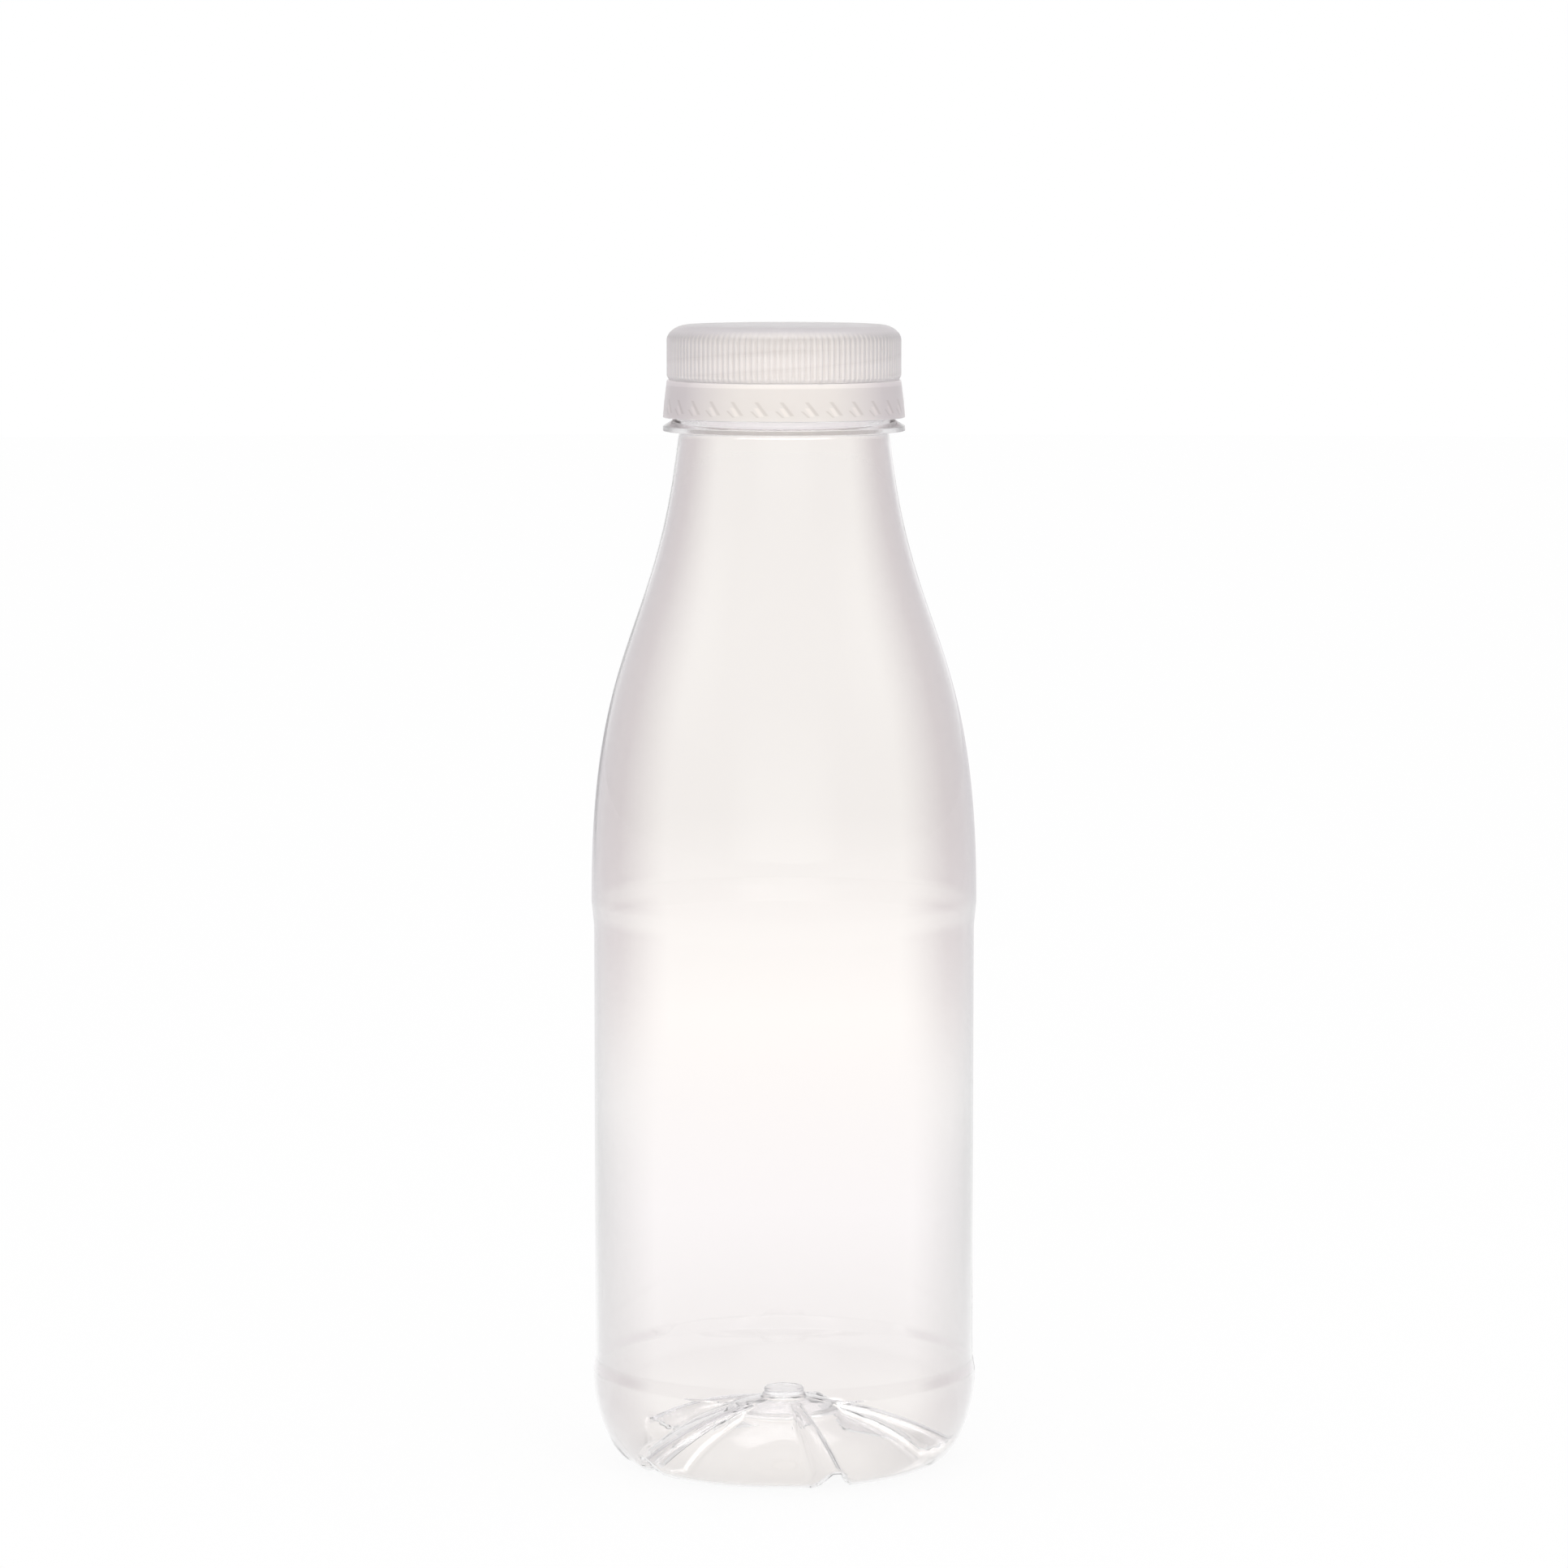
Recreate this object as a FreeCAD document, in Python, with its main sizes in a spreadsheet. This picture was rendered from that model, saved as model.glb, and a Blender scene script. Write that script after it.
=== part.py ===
"""Clear half-litre milk bottle with a screw cap and a tamper band.

Frame: millimetres, +Z up, origin on the standing plane under the middle of the bottle, -Y is the front.
The bottle is one blow-moulded piece: a ribbed base, a label panel between two bumper rings, a long
shoulder and a threaded neck with a support ring. The cap and its tamper band are closed on the neck.
"""
import FreeCAD, Part
import math
import os

import Sketcher
from FreeCAD import Placement, Rotation, Vector

# Driving dimensions, in millimetres and degrees. A height is counted from the standing plane, a rise from
# what lies under it, and a pull is how far a curve runs straight on before it bends.
DIMENSIONS = [
    # body
    ("wall", 0.40),
    ("body_radius", 33.90),
    ("bumper_step", 0.45),
    ("bumper_rise", 0.90),
    ("bumper_slope_rise", 2.40),
    ("label_height", 77.70),
    ("label_top_rise", 4.30),
    # heel and standing ring
    ("heel_height", 15.70),
    ("heel_rise_pull", 5.60),
    ("heel_run_pull", 5.40),
    ("heel_run", 8.15),
    ("foot_width", 1.60),
    # push-up dome, gate and base ribs
    ("dome_height", 10.60),
    ("dome_arc", 45.0),
    ("dome_extra_wall", 0.45),
    ("gate_radius", 3.50),
    ("gate_draft", 0.50),
    ("gate_rise", 1.00),
    ("gate_wall", 1.15),
    ("rib_count", 5),
    ("rib_crown", 10.35),
    ("rib_arc", 63.0),
    ("rib_tip_radius", 0.90),
    ("rib_flank_angle", 30.0),
    ("rib_sweep", 36.0),
    # shoulder and neck
    ("shoulder_rise", 77.80),
    ("shoulder_low_pull", 44.90),
    ("shoulder_high_pull", 31.10),
    ("neck_rise", 6.0),
    ("neck_step", 0.65),
    ("neck_slope", 7.80),
    ("neck_blend_pull", 2.40),
    ("neck_blend_gap", 0.80),
    # neck finish
    ("finish_radius", 17.90),
    ("finish_wall", 1.20),
    ("ring_reach", 3.55),
    ("ring_edge", 0.85),
    ("ring_root_reach", 1.40),
    ("ring_root_rise", 2.20),
    ("bead_reach", 1.90),
    ("bead_edge", 0.50),
    ("bead_slope_rise", 1.60),
    ("rim_round", 0.40),
    ("rim_gap", 0.32),
    # screw thread, shared by neck and cap
    ("thread_starts", 3),
    ("thread_lead", 9.60),
    ("thread_turn", 140.0),
    ("thread_depth", 1.00),
    ("thread_root_width", 1.60),
    ("thread_crest_width", 0.70),
    ("thread_bite", 0.20),
    ("thread_low_gap", 0.80),
    ("thread_clearance", 0.35),
    # cap
    ("cap_top", 1.30),
    ("cap_wall", 1.20),
    ("cap_corner", 2.60),
    ("slit", 0.45),
    ("grip_count", 120),
    ("grip_depth", 0.30),
    ("grip_width", 0.60),
    ("grip_low_gap", 0.30),
    ("grip_high_gap", 2.20),
    # tamper band
    ("band_gap", 0.15),
    ("band_waist_rise", 2.90),
    ("band_rise", 6.15),
    ("band_flare", 1.00),
    ("band_waist_draft", 0.15),
    ("band_top_draft", 0.70),
    ("band_wall", 0.75),
    ("flap_count", 30),
    ("flap_slit", 0.70),
    ("flap_gauge", 0.35),
    ("flap_low_gap", 0.30),
    ("flap_fold_rise", 0.80),
    ("flap_rise", 2.45),
    ("flap_reach", 1.05),
    ("flap_bite", 0.20),
    ("flap_clearance", 0.40),
    ("bridge_count", 10),
    ("bridge_width", 0.80),
    ("bridge_depth", 0.40),
]

SHEET = "Sizes"
FULL_TURN = 360.0
CUBIC = 3  # degree of the smooth curves
X_AXIS = -1  # a sketch's own axes and root point, as the sketcher numbers them
Y_AXIS = -2
ROOT = (-1, 1)
OVERSHOOT = 1.0  # how far a cutting form runs past the face it opens
QUARTER_PULL = 4 / 3 * (math.sqrt(2) - 1)  # pull of a cubic that follows a quarter turn of radius one


class Size:
    """A length that carries its number and the spreadsheet formula that gives it."""

    def __init__(self, value, text):
        self.value = float(value)
        self.text = text

    @staticmethod
    def of(other):
        return other if isinstance(other, Size) else Size(other, repr(float(other)))

    def __add__(self, other):
        other = Size.of(other)
        return Size(self.value + other.value, f"({self.text} + {other.text})")

    def __sub__(self, other):
        other = Size.of(other)
        return Size(self.value - other.value, f"({self.text} - {other.text})")

    def __mul__(self, other):
        other = Size.of(other)
        return Size(self.value * other.value, f"({self.text} * {other.text})")

    def __truediv__(self, other):
        other = Size.of(other)
        return Size(self.value / other.value, f"({self.text} / {other.text})")

    def __neg__(self):
        return Size(-self.value, f"(-{self.text})")


PI = Size(math.pi, "pi")


def sine(angle):
    return Size(math.sin(math.radians(angle.value)), f"sin({angle.text})")


def cosine(angle):
    return Size(math.cos(math.radians(angle.value)), f"cos({angle.text})")


def tangent(angle):
    return Size(math.tan(math.radians(angle.value)), f"tan({angle.text})")


class Sizes:
    """The driving dimensions by name, read back from the spreadsheet."""

    def __init__(self, doc):
        sheet = doc.addObject("Spreadsheet::Sheet", SHEET)
        for row, (alias, number) in enumerate(DIMENSIONS, start=1):
            sheet.set(f"A{row}", alias)
            sheet.set(f"B{row}", str(number))
            sheet.setAlias(f"B{row}", alias)
        doc.recompute()
        for alias, _ in DIMENSIONS:
            setattr(self, alias, Size(sheet.get(alias), f"{SHEET}.{alias}"))


def bind(thing, path, size):
    """Sets a property from a size and ties it to the spreadsheet."""
    thing.setExpression(path, size.text)


class Profile:
    """A closed sketch drawn corner by corner, with every corner tied to the spreadsheet."""

    def __init__(self, body, name, plane, shift=None, rise=None):
        self.sketch = body.newObject("Sketcher::SketchObject", name)
        role = next(f for f in body.Origin.OriginFeatures if f.Role == plane)
        self.sketch.AttachmentSupport = (role, [""])
        self.sketch.MapMode = "FlatFace"
        for axis, size in (("y", shift), ("z", rise)):
            if size is not None:
                bind(self.sketch, f"AttachmentOffset.Base.{axis}", size)
        self.first = None
        self.last = None
        self.here = None
        self.origin = None

    def place(self, geometry, point, at):
        """Ties one point of a piece of geometry to the place given by two sizes."""
        for kind, across, size in zip(("DistanceX", "DistanceY"), (Y_AXIS, X_AXIS), at):
            here = (geometry, point)
            if size.value == 0:
                self.sketch.addConstraint(Sketcher.Constraint("PointOnObject", *here, across))
            elif size.value > 0:
                index = self.sketch.addConstraint(Sketcher.Constraint(kind, *ROOT, *here, size.value))
                self.sketch.setExpression(f"Constraints[{index}]", size.text)
            else:
                index = self.sketch.addConstraint(Sketcher.Constraint(kind, *here, *ROOT, -size.value))
                self.sketch.setExpression(f"Constraints[{index}]", f"-{size.text}")

    def join(self, geometry):
        """Makes a new piece of geometry start where the last one ended."""
        if self.last is not None:
            self.sketch.addConstraint(Sketcher.Constraint("Coincident", *self.last, geometry, 1))
        self.last = (geometry, 2)

    def start(self, x, y):
        """Sets the first corner."""
        self.here = (Size.of(x), Size.of(y))
        self.origin = self.here

    def spot(self, at):
        return Vector(at[0].value, at[1].value, 0)

    def line(self, x, y):
        end = (Size.of(x), Size.of(y))
        geometry = self.sketch.addGeometry(Part.LineSegment(self.spot(self.here), self.spot(end)), False)
        if self.first is None:
            self.first = geometry
            self.place(geometry, 1, self.here)
        self.join(geometry)
        self.place(geometry, 2, end)
        self.here = end

    def arc(self, x, y, radius):
        """A round stretch of a stated radius that turns clockwise from the last corner to the next."""
        end = (Size.of(x), Size.of(y))
        from_spot = self.spot(self.here)
        to_spot = self.spot(end)
        half = (to_spot - from_spot) * 0.5
        across = Vector(-half.y, half.x, 0).normalize()
        centre = from_spot + half - across * math.sqrt(radius.value**2 - half.Length**2)
        turns = [math.atan2(spot.y - centre.y, spot.x - centre.x) for spot in (to_spot, from_spot)]
        circle = Part.Circle(centre, Vector(0, 0, 1), radius.value)
        geometry = self.sketch.addGeometry(Part.ArcOfCircle(circle, *turns), False)
        self.sketch.addConstraint(Sketcher.Constraint("Coincident", *self.last, geometry, 2))
        self.place(geometry, 1, end)
        index = self.sketch.addConstraint(Sketcher.Constraint("Radius", geometry, radius.value))
        self.sketch.setExpression(f"Constraints[{index}]", radius.text)
        self.last = (geometry, 1)
        self.here = end

    def curve(self, pull_one, pull_two, end):
        """A smooth curve that leaves towards the first pull and arrives from the second."""
        poles = [self.here] + [(Size.of(x), Size.of(y)) for x, y in (pull_one, pull_two, end)]
        spots = [self.spot(p) for p in poles]
        ends = [CUBIC + 1, CUBIC + 1]
        spline = Part.BSplineCurve(spots, ends, [0.0, 1.0], False, CUBIC, [1.0] * len(spots), False)
        geometry = self.sketch.addGeometry(spline, False)
        rings = [self.sketch.addGeometry(Part.Circle(spot, Vector(0, 0, 1), 1.0), True) for spot in spots]
        self.sketch.addConstraint(Sketcher.Constraint("Weight", rings[0], 1.0))
        for ring in rings[1:]:
            self.sketch.addConstraint(Sketcher.Constraint("Equal", rings[0], ring))
        for number, ring in enumerate(rings):
            link = ("InternalAlignment:Sketcher::BSplineControlPoint", ring, 3, geometry, number)
            self.sketch.addConstraint(Sketcher.Constraint(*link))
        self.join(geometry)
        for ring, pole in zip(rings[1:], poles[1:]):
            self.place(ring, 3, pole)
        self.here = poles[-1]

    def close(self):
        """The last side, back to the first corner."""
        last_side = Part.LineSegment(self.spot(self.here), self.spot(self.origin))
        geometry = self.sketch.addGeometry(last_side, False)
        self.join(geometry)
        self.sketch.addConstraint(Sketcher.Constraint("Coincident", geometry, 2, self.first, 1))
        return self.sketch


def body_of(doc, name):
    return doc.addObject("PartDesign::Body", name)


def origin_axis(body, role):
    return next(f for f in body.Origin.OriginFeatures if f.Role == role)


def revolve(body, sketch, name):
    """Turns a profile all the way round the vertical axis."""
    feature = body.newObject("PartDesign::Revolution", name)
    feature.Profile = sketch
    feature.ReferenceAxis = (sketch, ["V_Axis"])
    feature.Angle = 360.0
    return feature


def pattern(body, feature, name, count):
    """Repeats a feature evenly round the vertical axis."""
    polar = body.newObject("PartDesign::PolarPattern", name)
    polar.Originals = [feature]
    polar.Axis = (origin_axis(body, "Z_Axis"), [""])
    polar.Angle = 360.0
    polar.Occurrences = int(count.value)
    bind(polar, "Occurrences", count)
    body.Tip = polar
    return polar


def heights(sizes):
    """Levels that the pieces share, from the standing plane up."""
    level = {}
    level["bumper"] = sizes.heel_height + sizes.bumper_rise
    level["label_low"] = level["bumper"] + sizes.bumper_slope_rise
    level["label_high"] = level["label_low"] + sizes.label_height
    level["shoulder"] = level["label_high"] + sizes.label_top_rise
    level["neck"] = level["shoulder"] + sizes.shoulder_rise
    level["ring"] = level["neck"] + sizes.neck_rise
    level["ring_top"] = level["ring"] + sizes.ring_root_rise
    level["band_low"] = level["ring_top"] + sizes.band_gap
    level["band_high"] = level["band_low"] + sizes.band_rise
    level["flap_low"] = level["band_low"] + sizes.flap_low_gap
    level["flap_high"] = level["flap_low"] + sizes.flap_rise
    level["bead"] = level["flap_high"] + sizes.flap_clearance
    level["skirt"] = level["band_high"] + sizes.slit
    # the neck's thread runs half way between two starts of the cap's
    level["cap_thread"] = level["skirt"] + sizes.thread_low_gap + sizes.thread_root_width / 2
    level["neck_thread"] = level["cap_thread"] + sizes.thread_lead / sizes.thread_starts / 2
    thread_rise = sizes.thread_lead * sizes.thread_turn / FULL_TURN
    thread_top = level["neck_thread"] + thread_rise + sizes.thread_root_width / 2
    level["rim"] = thread_top + sizes.rim_gap
    level["mouth"] = level["rim"] + sizes.rim_round
    level["cap_top"] = level["mouth"] + sizes.cap_top
    return level


def radii(sizes):
    """Radii that the pieces share, from the body to the cap that closes on the neck."""
    radius = {}
    radius["bumper"] = sizes.body_radius + sizes.bumper_step
    radius["foot"] = radius["bumper"] - sizes.heel_run
    radius["neck"] = sizes.finish_radius + sizes.neck_step
    radius["neck_low"] = radius["neck"] + sizes.neck_rise * tangent(sizes.neck_slope)
    radius["ring"] = sizes.finish_radius + sizes.ring_reach
    radius["ring_root"] = sizes.finish_radius + sizes.ring_root_reach
    radius["bead"] = sizes.finish_radius + sizes.bead_reach
    radius["bore"] = sizes.finish_radius - sizes.finish_wall
    radius["thread_crest"] = sizes.finish_radius + sizes.thread_depth
    radius["cap_inner"] = radius["thread_crest"] + sizes.thread_clearance
    radius["cap"] = radius["cap_inner"] + sizes.cap_wall
    radius["band"] = radius["cap"] + sizes.band_flare
    radius["band_inner"] = radius["band"] - sizes.band_wall
    radius["flap_tip"] = radius["band_inner"] - sizes.flap_reach
    return radius


def base_rib(body, sizes, growth, name):
    """Cuts the hollow ribs that run from the middle of the base out through the heel.

    A rib's ridge line is an arc about a horizontal axis far below the base, so each rib is a wedge with a
    rounded tip, turned about that axis. The growth is the wall that the inside form leaves over it.
    """
    axis_height = sizes.rib_crown - sizes.rib_arc
    profile = Profile(body, f"{name}Section", "YZ_Plane", shift=axis_height)
    tip = sizes.rib_tip_radius + growth
    shoulder_y = tip * cosine(sizes.rib_flank_angle)
    tip_middle = sizes.rib_arc - sizes.rib_tip_radius
    shoulder_z = tip_middle + tip * sine(sizes.rib_flank_angle)
    drop = sizes.rib_crown + sizes.foot_width
    spread = shoulder_y + drop * tangent(sizes.rib_flank_angle)
    profile.start(spread, shoulder_z - drop)
    profile.line(shoulder_y, shoulder_z)
    profile.arc(-shoulder_y, shoulder_z, tip)
    profile.line(-spread, shoulder_z - drop)
    sketch = profile.close()
    groove = body.newObject("PartDesign::Groove", name)
    groove.Profile = sketch
    groove.ReferenceAxis = (sketch, ["H_Axis"])
    groove.Angle = sizes.rib_sweep.value
    bind(groove, "Angle", sizes.rib_sweep)
    return pattern(body, groove, f"{name}Pattern", sizes.rib_count)


def side(profile, sizes, level, radius, wall):
    """Draws the dome, foot, heel, label panel and shoulder, a wall's thickness inside the outside."""
    bumper_radius = radius["bumper"] - wall
    panel_radius = sizes.body_radius - wall
    neck_radius = radius["neck_low"] - wall
    turn_pull = wall * QUARTER_PULL
    profile.arc(radius["foot"] - sizes.foot_width, wall, sizes.dome_arc)
    profile.line(radius["foot"], wall)
    profile.curve(
        (radius["foot"] + sizes.heel_run_pull - turn_pull, wall),
        (bumper_radius, sizes.heel_height - sizes.heel_rise_pull + turn_pull),
        (bumper_radius, sizes.heel_height),
    )
    profile.line(bumper_radius, level["bumper"])
    profile.line(panel_radius, level["label_low"])
    profile.line(panel_radius, level["label_high"])
    profile.line(bumper_radius, level["shoulder"])
    profile.curve(
        (bumper_radius, level["shoulder"] + sizes.shoulder_low_pull),
        (
            neck_radius + sizes.shoulder_high_pull * tangent(sizes.neck_slope),
            level["neck"] - sizes.shoulder_high_pull,
        ),
        (neck_radius, level["neck"]),
    )


def outer_form(doc, sizes, level, radius):
    """The bottle's outside, solid, without its thread."""
    body = body_of(doc, "OuterForm")
    profile = Profile(body, "OuterProfile", "XZ_Plane")
    profile.start(0, sizes.dome_height + sizes.gate_rise)
    profile.line(sizes.gate_radius, sizes.dome_height + sizes.gate_rise)
    profile.line(sizes.gate_radius + sizes.gate_draft, sizes.dome_height)
    side(profile, sizes, level, radius, Size.of(0))
    profile.line(radius["neck"], level["ring"])
    profile.line(radius["ring"], level["ring"])
    profile.line(radius["ring"], level["ring"] + sizes.ring_edge)
    profile.line(radius["ring_root"], level["ring_top"])
    profile.line(sizes.finish_radius, level["ring_top"])
    profile.line(sizes.finish_radius, level["bead"])
    profile.line(radius["bead"], level["bead"])
    profile.line(radius["bead"], level["bead"] + sizes.bead_edge)
    profile.line(sizes.finish_radius, level["bead"] + sizes.bead_edge + sizes.bead_slope_rise)
    profile.line(sizes.finish_radius, level["rim"])
    profile.line(sizes.finish_radius - sizes.rim_round, level["mouth"])
    profile.line(0, level["mouth"])
    revolve(body, profile.close(), "OuterTurn")
    base_rib(body, sizes, Size.of(0), "RibHollow")
    return body


def cavity_form(doc, sizes, level, radius):
    """The space inside the bottle, a wall's thickness within the outside, and less at gate and neck."""
    body = body_of(doc, "Cavity")
    dome_height = sizes.dome_height + sizes.wall + sizes.dome_extra_wall
    gate_height = sizes.dome_height + sizes.gate_rise + sizes.gate_wall
    profile = Profile(body, "CavityProfile", "XZ_Plane")
    profile.start(0, gate_height)
    profile.line(sizes.gate_radius + sizes.wall, gate_height)
    profile.line(sizes.gate_radius + sizes.wall + sizes.gate_draft, dome_height)
    side(profile, sizes, level, radius, sizes.wall)
    pull = sizes.neck_blend_pull
    bore_low = level["ring"] - sizes.neck_blend_gap
    neck_low_radius, neck_low = profile.here
    profile.curve(
        (neck_low_radius - pull * tangent(sizes.neck_slope), neck_low + pull),
        (radius["bore"], bore_low - pull),
        (radius["bore"], bore_low),
    )
    profile.line(radius["bore"], level["mouth"] + OVERSHOOT)
    profile.line(0, level["mouth"] + OVERSHOOT)
    revolve(body, profile.close(), "CavityTurn")
    base_rib(body, sizes, sizes.wall, "RibCrest")
    return body


def thread_section(doc, name, root, crest, sizes):
    """A trapezoid thread section that stands on the root radius and narrows to the crest."""
    profile = Profile(body_of(doc, f"{name}Holder"), f"{name}Section", "XZ_Plane")
    half_root = sizes.thread_root_width / 2
    half_crest = sizes.thread_crest_width / 2
    profile.start(root, -half_root)
    profile.line(crest, -half_crest)
    profile.line(crest, half_crest)
    profile.line(root, half_root)
    return profile.close()


def thread(doc, name, root, crest, height, sizes):
    """The thread's starts, each swept up its own part of a turn."""
    starts = []
    for number in range(int(sizes.thread_starts.value)):
        label = f"{name}{number + 1}"
        helix = doc.addObject("Part::Helix", f"{label}Helix")
        bind(helix, "Pitch", sizes.thread_lead)
        bind(helix, "Height", sizes.thread_lead * sizes.thread_turn / FULL_TURN)
        bind(helix, "Radius", root)
        sweep = doc.addObject("Part::Sweep", label)
        sweep.Sections = [thread_section(doc, label, root, crest, sizes)]
        sweep.Spine = (helix, ["Edge1"])
        sweep.Solid = True
        sweep.Frenet = True
        turn = Rotation(Vector(0, 0, 1), number * FULL_TURN / sizes.thread_starts.value)
        sweep.Placement = Placement(Vector(), turn)
        bind(sweep, "Placement.Base.z", height)
        starts.append(sweep)
    return starts


def bottle(doc, sizes, level, radius):
    """The clear bottle: outside and thread in one, less the inside."""
    root = sizes.finish_radius - sizes.thread_bite
    starts = thread(doc, "NeckThread", root, radius["thread_crest"], level["neck_thread"], sizes)
    outside = doc.addObject("Part::MultiFuse", "BottleOutside")
    outside.Shapes = [outer_form(doc, sizes, level, radius)] + starts
    cut = doc.addObject("Part::Cut", "bottle")
    cut.Base = outside
    cut.Tool = cavity_form(doc, sizes, level, radius)
    return cut


def cap(doc, sizes, level, radius):
    """The screw cap: a rounded disc and skirt with grip ribs, threaded inside."""
    body = body_of(doc, "CapForm")
    outer = radius["cap"]
    inner = radius["cap_inner"]
    profile = Profile(body, "CapProfile", "XZ_Plane")
    profile.start(0, level["cap_top"])
    profile.line(outer - sizes.cap_corner, level["cap_top"])
    profile.arc(outer, level["cap_top"] - sizes.cap_corner, sizes.cap_corner)
    profile.line(outer, level["skirt"])
    profile.line(inner, level["skirt"])
    profile.line(inner, level["mouth"])
    profile.line(0, level["mouth"])
    revolve(body, profile.close(), "CapTurn")

    low = level["skirt"] + sizes.grip_low_gap
    half = sizes.grip_width / 2
    section = Profile(body, "GripSection", "XY_Plane", rise=low)
    section.start(outer - sizes.grip_depth, half)
    section.line(outer - sizes.grip_depth, -half)
    section.line(outer + sizes.grip_depth, 0)
    grip = body.newObject("PartDesign::Pad", "Grip")
    grip.Profile = section.close()
    bind(grip, "Length", level["cap_top"] - sizes.grip_high_gap - low)
    pattern(body, grip, "Grips", sizes.grip_count)

    root = inner + sizes.thread_bite
    crest = sizes.finish_radius + sizes.thread_clearance
    joined = doc.addObject("Part::MultiFuse", "cap")
    joined.Shapes = [body] + thread(doc, "CapThread", root, crest, level["cap_thread"], sizes)
    return joined


def tamper_band(doc, sizes, level, radius):
    """The band under the cap: a flared ring, folded flaps inside it and thin bridges on its top edge."""
    body = body_of(doc, "tamper_band")
    waist = level["band_low"] + sizes.band_waist_rise
    waist_radius = radius["band"] - sizes.band_waist_draft
    top_radius = radius["band"] - sizes.band_top_draft
    inner = radius["band_inner"]
    profile = Profile(body, "BandProfile", "XZ_Plane")
    profile.start(inner, level["band_low"])
    profile.line(radius["band"], level["band_low"])
    profile.line(waist_radius, waist)
    profile.line(top_radius, level["band_high"])
    profile.line(top_radius - sizes.band_wall, level["band_high"])
    profile.line(waist_radius - sizes.band_wall, waist)
    revolve(body, profile.close(), "BandTurn")

    tip = radius["flap_tip"]
    low = level["flap_low"]
    high = level["flap_high"]
    section = Profile(body, "FlapSection", "XZ_Plane")
    section.start(inner + sizes.flap_bite, low)
    section.line(inner + sizes.flap_bite, low + sizes.flap_fold_rise)
    section.line(tip + sizes.flap_gauge, high)
    section.line(tip, high)
    section.line(inner - sizes.flap_gauge, low)
    flap = body.newObject("PartDesign::Pad", "Flap")
    flap.Profile = section.close()
    flap.Midplane = True
    bind(flap, "Length", tip * 2 * PI / sizes.flap_count - sizes.flap_slit)
    pattern(body, flap, "Flaps", sizes.flap_count)

    outer_edge = top_radius - (sizes.band_wall - sizes.bridge_depth) / 2
    inner_edge = outer_edge - sizes.bridge_depth
    half = sizes.bridge_width / 2
    section = Profile(body, "BridgeSection", "XY_Plane", rise=level["band_high"])
    section.start(inner_edge, -half)
    section.line(outer_edge, -half)
    section.line(outer_edge, half)
    section.line(inner_edge, half)
    bridge = body.newObject("PartDesign::Pad", "Bridge")
    bridge.Profile = section.close()
    bind(bridge, "Length", sizes.slit)
    pattern(body, bridge, "Bridges", sizes.bridge_count)
    return body


def check(doc, parts):
    """Stops the build if any object failed or a piece isn't one valid solid."""
    for thing in doc.Objects:
        if "Invalid" in thing.State or "Error" in thing.State:
            raise RuntimeError(f"{thing.Name} failed: {thing.State}")
    for part in parts:
        shape = part.Shape
        if shape.isNull() or not shape.isValid() or len(shape.Solids) != 1:
            raise RuntimeError(f"{part.Label} isn't one valid solid")
        box = shape.BoundBox
        print(part.Label, f"volume {shape.Volume:.1f}", f"z {box.ZMin:.2f} to {box.ZMax:.2f}")


def main():
    doc = FreeCAD.newDocument("MilkBottle")
    sizes = Sizes(doc)
    places = (sizes, heights(sizes), radii(sizes))
    parts = [bottle(doc, *places), cap(doc, *places), tamper_band(doc, *places)]
    doc.recompute()
    check(doc, parts)
    os.makedirs("parts", exist_ok=True)
    for part in parts:
        part.Shape.exportStep(f"parts/{part.Label}.step")


main()
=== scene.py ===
import math

import bpy
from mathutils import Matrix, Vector


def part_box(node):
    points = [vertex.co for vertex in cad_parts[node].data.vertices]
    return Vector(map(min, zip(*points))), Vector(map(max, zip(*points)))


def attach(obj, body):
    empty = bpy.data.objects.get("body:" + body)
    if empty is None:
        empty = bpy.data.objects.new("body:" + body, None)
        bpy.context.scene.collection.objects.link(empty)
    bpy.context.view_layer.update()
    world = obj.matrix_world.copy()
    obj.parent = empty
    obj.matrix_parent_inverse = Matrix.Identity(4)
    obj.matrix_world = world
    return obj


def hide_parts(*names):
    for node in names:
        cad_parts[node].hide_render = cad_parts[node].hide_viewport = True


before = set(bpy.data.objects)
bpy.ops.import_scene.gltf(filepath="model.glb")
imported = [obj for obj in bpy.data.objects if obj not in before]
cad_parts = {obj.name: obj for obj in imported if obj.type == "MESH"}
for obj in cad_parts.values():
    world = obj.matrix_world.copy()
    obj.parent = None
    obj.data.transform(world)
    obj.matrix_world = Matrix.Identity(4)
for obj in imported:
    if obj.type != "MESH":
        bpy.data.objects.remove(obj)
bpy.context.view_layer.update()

mm = 0.001
fullTurn = 2 * math.pi


def softStep(low, high, value):
    share = min(max((value - low) / (high - low), 0.0), 1.0)
    return share * share * (3 - 2 * share)


def softMax(a, b, blend):
    share = min(max(0.5 + 0.5 * (a - b) / blend, 0.0), 1.0)
    return b + (a - b) * share + blend * share * (1 - share)


def bend(start, pullOne, pullTwo, end, steps):  # a cubic curve without its first point
    made = []
    for step in range(1, steps + 1):
        t = step / steps
        weights = ((1 - t) ** 3, 3 * (1 - t) ** 2 * t, 3 * (1 - t) * t * t, t ** 3)
        poles = (start, pullOne, pullTwo, end)
        made.append(tuple(sum(w * p[axis] for w, p in zip(weights, poles)) for axis in (0, 1)))
    return made


mostOfRun = 0.49  # two roundings on one run never meet


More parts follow.
